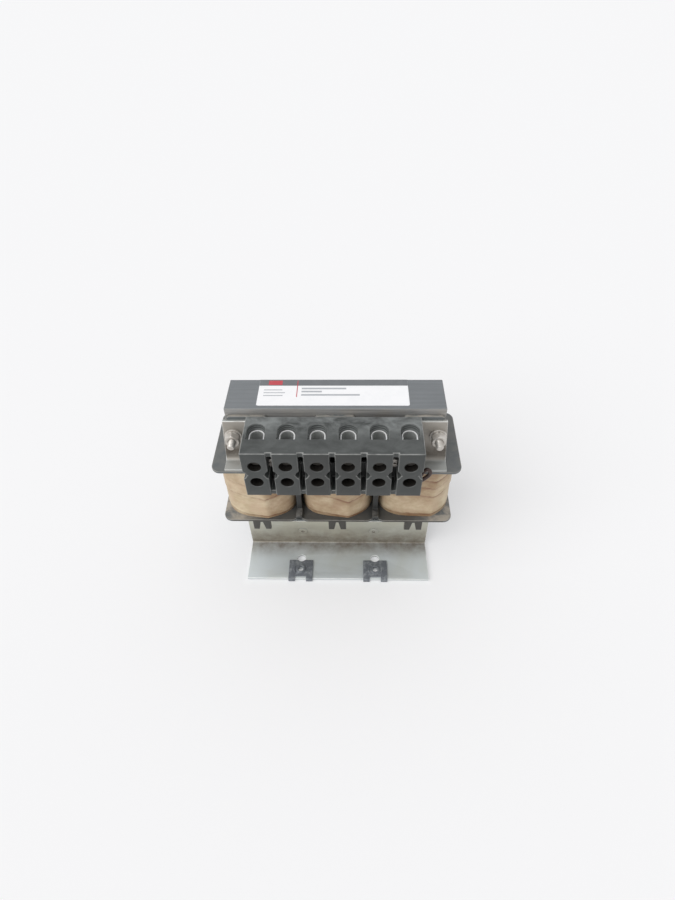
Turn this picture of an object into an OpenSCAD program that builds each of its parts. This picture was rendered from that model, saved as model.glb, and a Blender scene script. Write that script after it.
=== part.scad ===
// Three-phase line reactor: laminated three-leg core, three taped coils on moulded bobbins,
// six-pole screw terminal strip and folded sheet feet.
// Millimetres. X runs along the core, -Y is the terminal side, +Z is up.
// The origin is the middle of the core's underside.

/* [Core] */
// Width of each leg and height of each yoke
leg_w = 22.36; // [18:0.02:28]
// Width of each of the two windows
window_w = 22.36; // [20:0.02:28]
// Height of the legs above the bottom yoke
leg_h = 72.1; // [60:0.1:90]
// Depth of the lamination stack
stack_d = 22.9; // [18:0.1:40]
// Thickness of the gap spacers between the legs and the yoke bar
gap_t = 0.8; // [0.4:0.1:1.6]

/* [Bobbins] */
// Wall of the bobbin tube and its tongues
bobbin_wall = 1.7; // [1.2:0.1:2]
// Clearance between a leg and its bobbin
bobbin_fit = 0.3; // [0.1:0.05:0.6]
// Thickness of the flanges
flange_t = 1.5; // [1.2:0.1:3]
// Gap between neighbouring flanges
flange_gap = 0.44; // [0.2:0.02:2]
// Reach of the flanges past the core's front and rear faces
flange_reach = 11.9; // [11:0.05:16]
// Corner radius of the flanges
flange_r = 5; // [2:0.5:8]
// Height of the bobbin tube above the top flange
collar_h = 11.65; // [8:0.05:14]
// Height of the bobbin tube under the bottom flange
foot_collar_h = 13.4; // [9:0.1:16]
// Width of the tongues that stand in front of the yoke bar
tongue_w = 20.5; // [16:0.5:22]
// Distance of the tongues' tops below the core's top
tongue_drop = 3.3; // [1:0.1:8]
// Corner radius of the tongues
tongue_r = 2; // [0.5:0.1:4]
// Width of the notched lugs under the bottom flange
lug_w = 10.4; // [8:0.2:16]
// Length of the lugs
lug_h = 7.7; // [4:0.1:9]
// Thickness of the lugs
lug_t = 2; // [1.2:0.1:3]

/* [Coils] */
// Thickness of the tape around each winding
wrap_t = 1.2; // [0.6:0.1:1.8]
// Build of a coil beyond the tube at its sides, tape included
coil_side = 8.5; // [7:0.1:8.6]
// Build of a coil beyond the tube at its front and rear, tape included and ridge left out
coil_front = 7.5; // [6:0.1:7.7]
// Play above the coil, under the top flange
coil_play = 0.3; // [0.1:0.1:1]

/* [Coil spacers] */
// Thickness of the web between two coils
spacer_t = 0.9; // [0.4:0.1:1]
// Width of the posts at the web's front and rear edges
post_w = 3; // [2:0.1:4]
// Depth of the posts
post_d = 2.8; // [1.6:0.1:3.2]
// Reach of the posts past the core's front and rear faces
post_reach = 4.8; // [4.6:0.1:9]
// Width of the ledges at the posts' feet
ledge_w = 3.8; // [2:0.1:4]
// Reach of the ledges past the core's faces
ledge_reach = 11; // [10:0.1:11.6]
// Height of the ledges above the bottom flange
ledge_h = 2; // [1:0.1:6]

/* [Sheet metal] */
// Thickness of the folded sheet
sheet_t = 1.6; // [1:0.1:2.5]
// Inside radius of the foot brackets' folds
fold_r = 1; // [0.5:0.1:2.5]
// Inside radius of the terminal bracket's fold
bracket_fold_r = 2.4; // [1:0.1:3]
// Distance of the foot brackets' ends inside the core's ends
foot_in = 0; // [0:0.1:8]
// Reach of the feet past the core's face
foot_reach = 28.3; // [26:0.1:36]
// Height of the upright leg of the foot brackets
foot_leg = 24.4; // [19:0.1:28]
// Reach of the terminal bracket's top past the core's ends
bracket_over = 0.85; // [0:0.05:2]
// Reach of its foot past its top at each end
bracket_flare = 2; // [0:0.1:4]
// Sideways place of its middle
bracket_x = -0.3; // [-2:0.05:2]
// Distance of the terminal bracket's top below the core's top
bracket_drop = 5.3; // [3:0.1:8]
// Reach of the terminal bracket's foot along the flange
bracket_foot = 9.7; // [6:0.1:9.8]

/* [Mounting holes] */
// Distance between the mounting holes along the core
hole_pitch_x = 46.2; // [36:0.1:60]
// Distance between the front and rear mounting holes
hole_pitch_y = 51; // [46:0.1:58]
// Diameter of the mounting holes
hole_d = 5.2; // [4:0.1:6]

/* [Clip nuts] */
// Width of a clip nut
clip_w = 14.8; // [10:0.1:18]
// Length of its upper leaf
clip_len = 12.7; // [11:0.1:13.6]
// Length of its two lower leaves
clip_grip = 5; // [3:0.1:6]
// Thickness of its spring strip
clip_t = 0.8; // [0.5:0.1:1.2]
// Diameter of its threaded hole
clip_hole_d = 3.4; // [2.5:0.1:4.2]
// Distance of the middle of its upper leaf behind the foot's front edge
clip_notch = 1.3; // [0.5:0.1:2]
// Distance of the threaded hole behind the foot's front edge
clip_hole_in = 6; // [5:0.1:7]

/* [Clamp bolts] */
// Diameter of the clamp bolts
bolt_d = 4; // [3:0.5:5]
// Length of the clamp bolts under the head
bolt_len = 38.5; // [35:0.5:50]
// Distance of the bolts from the core's ends
bolt_in = 3.3; // [2.6:0.1:8]
// Distance of the bolts below the core's top
bolt_drop = 15.2; // [10:0.1:16]
// Size across flats of the heads and nuts
hex_af = 7; // [6:0.5:8]
// Height of the bolt heads
head_h = 2.8; // [2:0.1:4]
// Height of the nuts
nut_h = 3.2; // [2.4:0.1:5]
// Outside diameter of the flat washers
washer_od = 9; // [8:0.1:10]
// Thickness of the flat washers
washer_t = 0.8; // [0.5:0.1:1.2]
// Outside diameter of the lock washers
lock_od = 7.4; // [6:0.1:9]
// Thickness of the lock washers
lock_t = 1; // [0.6:0.1:1.5]

/* [Rivets] */
// Diameter of the rivets through the bottom yoke
rivet_d = 4.4; // [3.5:0.1:5]
// Diameter of the rivet heads
rivet_head_d = 5.8; // [5.4:0.1:9]
// Height of the rivet heads
rivet_head_h = 0.4; // [0.3:0.1:1.5]
// Height of the rivets above the core's underside
rivet_z = 14.8; // [9:0.1:17]

/* [Terminal strip] */
// Distance between neighbouring poles
pole_pitch = 15; // [14.5:0.1:16]
// Width of one pole
pole_w = 12.4; // [11.8:0.1:13.4]
// Height of the strip
strip_h = 30.6; // [29:0.1:34]
// Depth of the strip from its base to the screw face
strip_d = 25.5; // [24:0.1:32]
// Sideways place of the strip's middle
strip_x = -0.7; // [-3:0.05:3]
// Clearance between the strip and the terminal bracket's foot
strip_lift = 0.2; // [0.1:0.02:1]
// Depth of the web that joins the poles
web_d = 15; // [8:0.5:17]
// Height of the walls that join the poles along the top and bottom
wall_h = 3; // [2:0.1:4.5]
// Distance of those walls behind the screw face
wall_in = 0.9; // [0.3:0.1:6]
// Half width of the diamond cuts round the mounting holes
diamond = 3.5; // [3:0.1:4.6]
// Diameter of the mounting holes between the poles
strip_hole_d = 3.6; // [3:0.1:4]
// Diameter of the screw wells
well_d = 6.5; // [6:0.1:7]
// Distance of the upper wells below the strip's top
well_drop = 9.3; // [8.6:0.1:10.5]
// Distance between the upper and lower wells
well_pitch = 11.3; // [9.5:0.1:12]
// Width of the wire mouths
mouth_w = 9; // [8.6:0.1:10]
// Depth of the wall between the wire mouths and the screw face
front_wall = 10; // [9:0.1:10.2]

/* [Barrels and screws] */
// Outside width of the barrels
barrel_od = 8; // [7.4:0.1:8.4]
// Inside diameter of the barrels' bores
barrel_id = 6.5; // [5.6:0.1:6.7]
// Distance of the bores' axes in front of the strip's base
barrel_out = 9.45; // [8.8:0.05:9.6]
// Reach of the barrels in front of the bores' axes
barrel_front = 5.8; // [5.7:0.1:5.9]
// Distance of the barrels' ends inside the housing
barrel_recess = 3.8; // [2:0.1:4.2]
// Depth of the oblong lead-ins at the barrels' ends
lead_in_h = 2; // [1:0.1:2.4]
// Reach of the lead-ins beyond the bores
lead_in_reach = 1.8; // [1:0.1:2]
// Thickness of the wire stop in the middle of each barrel
barrel_stop = 1.2; // [0.6:0.1:3]
// Diameter of the terminal screws' threads
screw_d = 3.5; // [3:0.1:4]
// Diameter of the terminal screws' heads
screw_head_d = 5.6; // [5:0.1:5.8]
// Height of the terminal screws' heads
screw_head_h = 2.2; // [1.8:0.1:3.4]
// Length of the terminal screws under the head
screw_len = 6.6; // [6.4:0.1:8]
// Diameter of the two screws that hold the strip
strip_screw_d = 3; // [2.5:0.1:3.4]
// Diameter of their heads
strip_screw_head_d = 5.6; // [4.6:0.1:5.8]
// Height of their heads
strip_screw_head_h = 2.2; // [1.6:0.1:3]

/* [Leads] */
// Diameter of the sleeved coil leads
lead_d = 2.4; // [1.6:0.1:2.6]
// Distance of the leads' taps below the tops of the coils
tap_drop = 11.8; // [9:0.1:14]
// Clearance of the leads in front of the flanges
lead_gap = 0.5; // [0.3:0.1:1]

/* [Label] */
// Length of the label
label_w = 77.3; // [60:0.1:100]
// Depth of the label
label_d = 20.2; // [14:0.1:20.4]
// Thickness of the label
label_t = 0.2; // [0.1:0.05:0.4]
// Sideways place of the label's middle
label_x = -1.15; // [-6:0.05:6]
// Place of the label's middle behind the core's middle
label_y = 1.1; // [0:0.1:1.2]

/* [Hidden] */
SIDES = ["left", "middle", "right"];
POLES = 6;
$fn = 48;
eps = 0.01;

// Core
leg_pitch = leg_w + window_w;
core_w = 3 * leg_w + 2 * window_w;
leg_top = leg_w + leg_h;
yoke_z = leg_top + gap_t;
core_top = yoke_z + leg_w;
face_y = stack_d / 2;

// The feet lie one clip leaf above the core's underside, so that the clips' lower leaves are level with it
foot_z = clip_t;
foot_top = foot_z + sheet_t;
foot_edge = face_y + foot_reach;
foot_w = core_w - 2 * foot_in;
hole_x = hole_pitch_x / 2;
hole_y = hole_pitch_y / 2;
clip_y = foot_edge - clip_hole_in;
rivet_x = leg_pitch / 2;
rivet_fit = 0.1;

// Bobbins
tube_x = leg_w / 2 + bobbin_fit + bobbin_wall;
tube_y = face_y + bobbin_fit + bobbin_wall;
tube_z0 = max(leg_w, foot_z + foot_leg) + bobbin_fit;
tube_z1 = yoke_z - bobbin_fit;
flange_w = leg_pitch - flange_gap;
flange_d = stack_d + 2 * flange_reach;
bottom_flange_z = tube_z0 + foot_collar_h;
top_flange_z = tube_z1 - collar_h - flange_t;
flange_top = top_flange_z + flange_t;
tongue_top = core_top - tongue_drop;

// Coils
coil_x = tube_x + coil_side;
coil_y = tube_y + coil_front;
coil_z0 = bottom_flange_z + flange_t;
coil_z1 = top_flange_z - coil_play;
coil_roundness = 2.7;
coil_points = 72;
// Place and height of the ridge on each coil's front, and how much flatter each coil is than the first
ridge_at = [4.2, 6.7, 6.5];
ridge_rise = [1.6, 1.9, 1.1];
coil_less = [0, 0.75, 0.95];
ridge_w = 14;

// Terminal bracket and clamp bolts
bracket_w = core_w + 2 * bracket_over;
bracket_foot_w = bracket_w + 2 * bracket_flare;
bracket_z1 = core_top - bracket_drop;
bracket_face = tube_y + sheet_t;
bolt_x = core_w / 2 - bolt_in;
bolt_z = core_top - bolt_drop;
bolt_fit = 0.5;
bolt_slot = bolt_d + bolt_fit;

// Terminal strip, measured from its base: x along the strip, y up, z out to the screw face
strip_z0 = flange_top + sheet_t + strip_lift;
strip_len = (POLES - 1) * pole_pitch + pole_w;
upper_well = strip_h - well_drop;
lower_well = upper_well - well_pitch;
mouth_end = strip_d - front_wall;
barrel_fit = 0.1;
bore_len = (strip_h - barrel_stop) / 2 - barrel_recess;
screw_fit = 0.05;
fold_relief = bracket_fold_r + 0.1;
head_fit = 0.2;
screwed_gaps = [0, POLES - 2];
// The upper screws are backed out of the bores, the lower ones press on the leads
upper_tip = barrel_out + barrel_id / 2 + barrel_fit;
lower_tip = barrel_out - barrel_id / 2 + lead_d + 2 * barrel_fit;
slot_w = 0.9;
slot_h = 1.1;

// Coil leads: from a tap in a coil's front up past the flange's edge into a barrel's lower bore
lead_sides = 8;
lead_steps = 2;
// Place of each lead's tap from the coil's middle, as a share of the coil's half width
tap_share = [0.32, 0.49, -0.4, 0.35, -0.49, -0.2];
tap_out = 0.45;
tap_z = coil_z1 - tap_drop;
edge_y = -flange_d / 2 - lead_d / 2 - lead_gap;
axis_y = -bracket_face - barrel_out;
seat_y = axis_y + (barrel_id - lead_d) / 2 - barrel_fit;
bore_z = strip_z0 + barrel_recess;
press_z = strip_z0 + lower_well;
function pole_x(i) = strip_x + (i - (POLES - 1) / 2) * pole_pitch;
function tap_dx(k) = tap_share[k] * coil_x;
function tap_x(k) = coil_at(floor(k / 2)) + tap_dx(k);
function tap_y(k) = -coil_front_at(floor(k / 2), tap_dx(k)) - tap_out;
// Sideways place of lead k, a share `s` of the way from its tap to its pole
function lead_x(k, s) = tap_x(k) + s * (pole_x(k) - tap_x(k));
function lead_foot(k) = [
    [tap_x(k), tap_y(k), tap_z],
    [tap_x(k), tap_y(k) - 1.8, tap_z + 1.7],
    [lead_x(k, 0.07), edge_y + 1.2, tap_z + 4.2]
];
function lead_rise(k) = [
    [lead_x(k, 0.25), edge_y - 0.2, tap_z + 7.6],
    [lead_x(k, 0.59), edge_y - 0.3, top_flange_z - 0.5],
    [lead_x(k, 0.89), edge_y, flange_top + 1]
];
// The last lead is longer than its way, and lies in a loop beside the strip's end
strip_end = strip_x + strip_len / 2;
function lead_loop(k) = [
    [strip_end + 0.6, edge_y - 0.5, strip_z0 - 7],
    [strip_end + 4.3, edge_y - 1.3, strip_z0 - 2.4],
    [strip_end + 6.4, edge_y - 1.5, strip_z0 + 1.9],
    [strip_end + 4.2, edge_y - 1.6, strip_z0 + 4.6],
    [strip_end + 1.9, edge_y - 1.8, strip_z0 + 1.6],
    [strip_end + 0.5, edge_y - 1.9, strip_z0 - 1.9],
    [strip_end - 2.4, edge_y - 1.5, strip_z0 - 2.6],
    [pole_x(k) + 1.4, edge_y - 0.5, strip_z0 - 1.2]
];
function lead_tail(k) = [
    [pole_x(k), axis_y, bore_z - 0.7],
    [pole_x(k), seat_y - 0.3, press_z - 3.4],
    [pole_x(k), seat_y, press_z - 0.4],
    [pole_x(k), seat_y, press_z + 2.6]
];
function lead_route(k) = concat(lead_foot(k), k < POLES - 1 ? lead_rise(k) : lead_loop(k), lead_tail(k));

// Colours
varnish = [0.50, 0.51, 0.52];
moulding = [0.40, 0.41, 0.41];
strip_grey = [0.34, 0.35, 0.34];
tape = [0.78, 0.69, 0.56];
copper = [0.62, 0.34, 0.18];
zinc = [0.68, 0.70, 0.68];
slate = [0.36, 0.37, 0.38];
nickel = [0.78, 0.80, 0.79];
card = [0.72, 0.62, 0.48];
sleeve = [0.22, 0.13, 0.10];
paper_white = [0.96, 0.96, 0.97];

// A rectangle with round corners, centred
module round_rect(w, d, r) {
    square([w - 2 * r, d], center = true);
    square([w, d - 2 * r], center = true);
    for (sx = [-1, 1], sy = [-1, 1])
        translate([sx * (w / 2 - r), sy * (d / 2 - r)])
            circle(r);
}

// A plate with its two upper corners rounded, standing on y = 0
module tongue_outline(w, h, r) {
    translate([-w / 2, 0])
        square([w, h - r]);
    translate([-w / 2 + r, 0])
        square([w - 2 * r, h]);
    for (sx = [-1, 1])
        translate([sx * (w / 2 - r), h - r])
            circle(r);
}

// Section of a folded sheet: x along the foot, y up the leg
module fold_section(leg, foot, t, r) {
    out_r = t + r;
    translate([0, out_r])
        square([t, leg - out_r]);
    translate([out_r, 0])
        square([foot - out_r, t]);
    translate([out_r, out_r])
        intersection() {
            difference() {
                circle(out_r);
                circle(r);
            }
            translate([-out_r, -out_r])
                square(out_r);
        }
}

// A folded sheet with its leg against the plane y = 0 and its foot reaching to -Y
module folded_sheet(w, leg, foot, r) {
    mirror([0, 1, 0])
        translate([-w / 2, 0, 0])
            rotate([90, 0, 90])
                linear_extrude(w)
                    fold_section(leg, foot, sheet_t, r);
}

// A cylinder along Y from y0 to y1
module y_cylinder(d, y0, y1, x = 0, z = 0) {
    translate([x, y1, z])
        rotate([90, 0, 0])
            cylinder(d = d, h = y1 - y0);
}

// Places its children on both ends of the core, at the clamp bolts
module at_bolts() {
    for (sx = [-1, 1])
        translate([sx * bolt_x, 0, bolt_z])
            children();
}

// Sideways place of coil i: 0 left, 1 middle, 2 right
function coil_at(i) = (i - 1) * leg_pitch;

module core_e_stack() {
    color(varnish)
        difference() {
            union() {
                translate([-core_w / 2, -face_y, 0])
                    cube([core_w, stack_d, leg_w]);
                for (i = [0 : 2])
                    translate([coil_at(i) - leg_w / 2, -face_y, 0])
                        cube([leg_w, stack_d, leg_top]);
            }
            for (sx = [-1, 1])
                y_cylinder(rivet_d + rivet_fit, -face_y - eps, face_y + eps, sx * rivet_x, rivet_z);
        }
}

module core_yoke_bar() {
    color(varnish)
        difference() {
            translate([-core_w / 2, -face_y, yoke_z])
                cube([core_w, stack_d, leg_w]);
            for (sx = [-1, 1])
                translate([sx * bolt_x, 0, bolt_z])
                    bolt_notch(sx, face_y, bolt_in + eps);
        }
}

// Notch for a clamp bolt, open to the outside, centred on the bolt and reaching `out` beyond it
module bolt_notch(sx, half_d, out) {
    y_cylinder(bolt_slot, -half_d - eps, half_d + eps);
    translate([sx > 0 ? 0 : -out, -half_d - eps, -bolt_slot / 2])
        cube([out, 2 * half_d + 2 * eps, bolt_slot]);
}

module gap_spacer(i) {
    color(card)
        translate([coil_at(i) - leg_w / 2, -face_y, leg_top])
            cube([leg_w, stack_d, gap_t]);
}

module bobbin(i) {
    color(moulding)
        translate([coil_at(i), 0, 0])
            difference() {
                union() {
                    translate([-tube_x, -tube_y, tube_z0])
                        cube([2 * tube_x, 2 * tube_y, tube_z1 - tube_z0]);
                    for (z = [bottom_flange_z, top_flange_z])
                        translate([0, 0, z])
                            linear_extrude(flange_t)
                                round_rect(flange_w, flange_d, flange_r);
                    for (side = [0, 1])
                        mirror([0, side, 0]) {
                            bobbin_tongue();
                            bobbin_lug();
                        }
                }
                translate([-tube_x + bobbin_wall, -tube_y + bobbin_wall, tube_z0 - eps])
                    cube([2 * (tube_x - bobbin_wall), 2 * (tube_y - bobbin_wall), core_top]);
                if (i != 1)
                    translate([(i - 1) * (bolt_x - leg_pitch), 0, bolt_z])
                        bolt_notch(i - 1, tube_y, leg_w);
            }
}

// The front wall of the tube runs on upwards as a tongue in front of the yoke bar
module bobbin_tongue() {
    translate([0, -tube_y + bobbin_wall, flange_top - eps])
        rotate([90, 0, 0])
            linear_extrude(bobbin_wall)
                tongue_outline(tongue_w, tongue_top - flange_top, tongue_r);
}

// Lug with an inverted V notch, hanging from the front edge of the bottom flange
module bobbin_lug() {
    notch_foot = lug_w * 0.2;
    notch_top = lug_w * 0.06;
    translate([0, -flange_d / 2 + lug_t, bottom_flange_z + eps])
        rotate([90, 0, 0])
            linear_extrude(lug_t)
                difference() {
                    translate([-lug_w / 2, -lug_h])
                        square([lug_w, lug_h]);
                    polygon([[-notch_foot, -lug_h - 1], [notch_foot, -lug_h - 1],
                        [notch_top, -lug_h * 0.1], [-notch_top, -lug_h * 0.1]]);
                }
}

// Outline of coil i, drawn in by `inset`: a round-cornered oval with a blunt ridge at its front
function oval(a, n) = sign(a) * pow(abs(a), 2 / n);
function ridge(i, x) = ridge_rise[i] * max(0, 1 - abs(x - ridge_at[i]) / ridge_w);
function coil_front_at(i, x) = ridge(i, x)
    + (coil_y - coil_less[i]) * pow(1 - pow(abs(x) / coil_x, coil_roundness), 1 / coil_roundness);
function coil_outline(i, inset) = [
    for (k = [0 : coil_points - 1])
        let (a = 360 * k / coil_points)
        let (x = (coil_x - inset) * oval(cos(a), coil_roundness))
        let (y = (coil_y - coil_less[i] - inset) * oval(sin(a), coil_roundness))
        [x, y < 0 ? y - ridge(i, x) : y]
];

module coil_body(i, inset) {
    translate([coil_at(i), 0, coil_z0])
        linear_extrude(coil_z1 - coil_z0)
            polygon(coil_outline(i, inset));
}

module winding(i) {
    color(copper)
        difference() {
            coil_body(i, wrap_t);
            translate([coil_at(i) - tube_x, -tube_y, 0])
                cube([2 * tube_x, 2 * tube_y, core_top]);
        }
}

// The tape, with a hole where each lead comes out
module coil_wrap(i) {
    color(tape)
        difference() {
            coil_body(i, 0);
            translate([0, 0, -eps])
                coil_body(i, wrap_t);
            translate([0, 0, eps])
                coil_body(i, wrap_t);
            for (k = [2 * i, 2 * i + 1])
                lead_hole(lead_route(k));
        }
}

module lead_hole(route) {
    run = route[1] - route[0];
    tilt = atan2(run[2], -run[1]);
    translate(route[0])
        rotate([90 - tilt, 0, 0])
            cylinder(d = lead_d + 2 * barrel_fit, h = 3 * lead_d, center = true);
}

// Web between two coils, with a post at its front and rear edges and a ledge at each post's foot
module coil_spacer(side) {
    post_y = face_y + post_reach;
    height = top_flange_z - coil_z0;
    color(slate)
        translate([side * leg_pitch / 2, 0, coil_z0]) {
            translate([-spacer_t / 2, -post_y, 0])
                cube([spacer_t, 2 * post_y, height]);
            for (turn = [0, 1])
                mirror([0, turn, 0])
                    translate([0, -post_y, 0]) {
                        translate([-post_w / 2, 0, 0])
                            cube([post_w, post_d, height]);
                        translate([-ledge_w / 2, post_reach - ledge_reach, 0])
                            cube([ledge_w, ledge_reach - post_reach + eps, ledge_h]);
                    }
        }
}

module foot_bracket() {
    color(zinc)
        difference() {
            translate([0, -face_y, foot_z])
                folded_sheet(foot_w, foot_leg, foot_reach, fold_r);
            for (sx = [-1, 1]) {
                translate([sx * hole_x, -hole_y, 0])
                    cylinder(d = hole_d, h = foot_leg);
                translate([sx * hole_x, -clip_y, 0])
                    cylinder(d = clip_hole_d, h = foot_leg);
                y_cylinder(rivet_d + rivet_fit, -face_y - foot_reach, 0, sx * rivet_x, rivet_z);
            }
        }
}

module front_foot_bracket() {
    foot_bracket();
}

module rear_foot_bracket() {
    mirror([0, 1, 0])
        foot_bracket();
}

// Rivets through the bottom yoke and both foot brackets, with a dimple in each head
module foot_rivets() {
    reach = face_y + sheet_t;
    dimple_d = rivet_d * 0.4;
    color(zinc)
        for (sx = [-1, 1])
            translate([sx * rivet_x, 0, rivet_z])
                difference() {
                    union() {
                        y_cylinder(rivet_d, -reach, reach);
                        y_cylinder(rivet_head_d, -reach - rivet_head_h, -reach);
                        y_cylinder(rivet_head_d, reach, reach + rivet_head_h);
                    }
                    y_cylinder(dimple_d, -reach - 1, -reach);
                    y_cylinder(dimple_d, reach, reach + 1);
                }
}

// Spring-strip clip over the foot's front edge: one upper leaf with a thread, two lower leaves
module clip_nut(sx) {
    leaf_w = clip_w * 0.27;
    front = -foot_edge - clip_t;
    collar_d = clip_hole_d + 2;
    color(slate)
        difference() {
            translate([sx * hole_x, 0, 0]) {
                translate([-clip_w / 2, clip_notch - foot_edge, foot_top])
                    cube([clip_w, clip_len - clip_notch, clip_t]);
                translate([0, -clip_y, foot_top + clip_t])
                    cylinder(d = collar_d, h = clip_t);
                for (leaf = [-clip_w / 2, clip_w / 2 - leaf_w])
                    translate([leaf, front, 0]) {
                        cube([leaf_w, clip_t, foot_top + clip_t]);
                        cube([leaf_w, clip_grip + clip_t, clip_t]);
                        translate([0, 0, foot_top])
                            cube([leaf_w, clip_t + clip_notch + eps, clip_t]);
                    }
            }
            translate([sx * hole_x, -clip_y, 0])
                cylinder(d = clip_hole_d, h = foot_leg);
            translate([sx * hole_x, -hole_y, 0])
                cylinder(d = hole_d, h = foot_leg);
        }
}

module terminal_bracket() {
    color(zinc)
        difference() {
            intersection() {
                translate([bracket_x, -tube_y, flange_top])
                    folded_sheet(bracket_foot_w, bracket_z1 - flange_top, bracket_foot, bracket_fold_r);
                translate([bracket_x, 0, 0])
                    rotate([90, 0, 0])
                        linear_extrude(flange_d)
                            bracket_outline();
            }
            at_bolts()
                y_cylinder(bolt_slot, -bracket_face - eps, 0);
            for (gap = screwed_gaps)
                y_cylinder(strip_screw_d + 2 * screw_fit, -bracket_face - eps, 0,
                    (pole_x(gap) + pole_x(gap + 1)) / 2, strip_z0 + strip_h / 2);
        }
}

// Front outline of the terminal bracket: straight up to the fold, then drawn in towards its top
module bracket_outline() {
    fold_z = flange_top + sheet_t + bracket_fold_r;
    polygon([
        [-bracket_foot_w / 2, flange_top], [bracket_foot_w / 2, flange_top], [bracket_foot_w / 2, fold_z],
        [bracket_w / 2, bracket_z1], [-bracket_w / 2, bracket_z1], [-bracket_foot_w / 2, fold_z]
    ]);
}

// Bolts with their heads behind the rear tongues and their ends in front of the terminal bracket
module clamp_bolts() {
    head_y = tube_y + washer_t;
    color(zinc)
        at_bolts() {
            y_cylinder(bolt_d, head_y - bolt_len, head_y);
            translate([0, head_y + head_h, 0])
                rotate([90, 0, 0])
                    cylinder(d = hex_af / cos(30), h = head_h, $fn = 6);
        }
}

module ring_along_y(od, id, y0, y1) {
    difference() {
        y_cylinder(od, y0, y1);
        y_cylinder(id, y0 - eps, y1 + eps);
    }
}

module flat_washers() {
    color(zinc)
        at_bolts() {
            ring_along_y(washer_od, bolt_slot, tube_y, tube_y + washer_t);
            ring_along_y(washer_od, bolt_slot, -bracket_face - washer_t, -bracket_face);
        }
}

// Spring lock washers, split at the top
module lock_washers() {
    y0 = -bracket_face - washer_t - lock_t;
    color(zinc)
        at_bolts()
            difference() {
                ring_along_y(lock_od, bolt_slot, y0, y0 + lock_t);
                translate([-lock_t / 4, y0 - eps, 0])
                    cube([lock_t / 2, lock_t + 2 * eps, lock_od]);
            }
}

module clamp_nuts() {
    y1 = -bracket_face - washer_t - lock_t;
    color(zinc)
        at_bolts()
            difference() {
                translate([0, y1, 0])
                    rotate([90, 0, 0])
                        cylinder(d = hex_af / cos(30), h = nut_h, $fn = 6);
                y_cylinder(bolt_d + 2 * screw_fit, y1 - nut_h - eps, y1 + eps);
            }
}

// Local frame of the terminal strip: x along it, y up, z out from the bracket
module at_strip() {
    translate([0, -bracket_face, strip_z0])
        rotate([90, 0, 0])
            children();
}

// Front outline of one pole, with diamond cuts and head room beside the mounting holes
module pole_outline() {
    difference() {
        translate([-pole_w / 2, 0])
            square([pole_w, strip_h]);
        for (sx = [-1, 1])
            translate([sx * pole_pitch / 2, strip_h / 2]) {
                rotate(45)
                    square(diamond * sqrt(2), center = true);
                circle(d = strip_screw_head_d + 2 * head_fit);
            }
    }
}

// Outline round at the back and straight towards the screw face, reaching `front` ahead of the bore's axis
module u_outline(w, front) {
    circle(d = w);
    translate([-w / 2, 0])
        square([w, front]);
}

// Raises an outline (x along the strip, y outwards) from height y, on the bore's axis
module along_bore(y, h) {
    translate([0, y, barrel_out])
        rotate([-90, 0, 0])
            mirror([0, 1, 0])
                linear_extrude(h)
                    children();
}

// Cuts of one pole: two wire mouths, the barrel's hole and two screw wells
module pole_cuts() {
    for (y = [-eps, strip_h - barrel_recess])
        along_bore(y, barrel_recess + eps)
            u_outline(mouth_w, mouth_end - barrel_out);
    along_bore(0, strip_h)
        u_outline(barrel_od + 2 * barrel_fit, barrel_front + barrel_fit);
    for (y = [lower_well, upper_well])
        translate([0, y, barrel_out])
            cylinder(d = well_d, h = strip_d);
}

module terminal_housing() {
    color(strip_grey)
        at_strip()
            difference() {
                union() {
                    for (i = [0 : POLES - 1])
                        translate([pole_x(i), 0, 0])
                            linear_extrude(strip_d)
                                pole_outline();
                    translate([pole_x(0), 0, 0])
                        cube([strip_len - pole_w, strip_h, web_d]);
                    for (y = [0, strip_h - wall_h])
                        translate([pole_x(0), y, 0])
                            cube([strip_len - pole_w, wall_h, strip_d - wall_in]);
                }
                for (i = [0 : POLES - 1])
                    translate([pole_x(i), 0, 0])
                        pole_cuts();
                translate([pole_x(0) - pole_pitch, -eps, -eps])
                    cube([POLES * pole_pitch + pole_pitch, fold_relief, fold_relief]);
                for (i = [0 : POLES - 2])
                    translate([(pole_x(i) + pole_x(i + 1)) / 2, strip_h / 2, -eps])
                        cylinder(d = strip_hole_d, h = strip_d);
            }
}

// Plated barrel that joins a pole's two wire entries, tapped for its two screws
module terminal_barrel(i) {
    color(nickel)
        at_strip()
            translate([pole_x(i), 0, 0])
                difference() {
                    along_bore(barrel_recess, strip_h - 2 * barrel_recess)
                        u_outline(barrel_od, barrel_front);
                    for (y = [barrel_recess - eps, (strip_h + barrel_stop) / 2])
                        along_bore(y, bore_len + eps)
                            circle(d = barrel_id);
                    for (y = [barrel_recess - eps, strip_h - barrel_recess - lead_in_h])
                        along_bore(y, lead_in_h + eps)
                            lead_in_outline();
                    for (y = [lower_well, upper_well])
                        translate([0, y, barrel_out])
                            cylinder(d = screw_d + 2 * screw_fit, h = barrel_od);
                }
}

// Oblong from the bore towards the screw face
module lead_in_outline() {
    u_outline(barrel_id, lead_in_reach);
    translate([0, lead_in_reach])
        circle(d = barrel_id);
}

// Slotted cylinder-head screw along +Z, with its tip at the origin
module slotted_screw(d, len, head_d, head_h) {
    difference() {
        union() {
            cylinder(d = d, h = len + eps);
            translate([0, 0, len])
                cylinder(d = head_d, h = head_h);
        }
        translate([-head_d, -slot_w / 2, len + head_h - slot_h])
            cube([2 * head_d, slot_w, slot_h + eps]);
    }
}

module terminal_screw_row(y, tip) {
    color(nickel)
        at_strip()
            for (i = [0 : POLES - 1])
                translate([pole_x(i), y, tip])
                    slotted_screw(screw_d, screw_len, screw_head_d, screw_head_h);
}

module upper_terminal_screws() {
    terminal_screw_row(upper_well, upper_tip);
}

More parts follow.
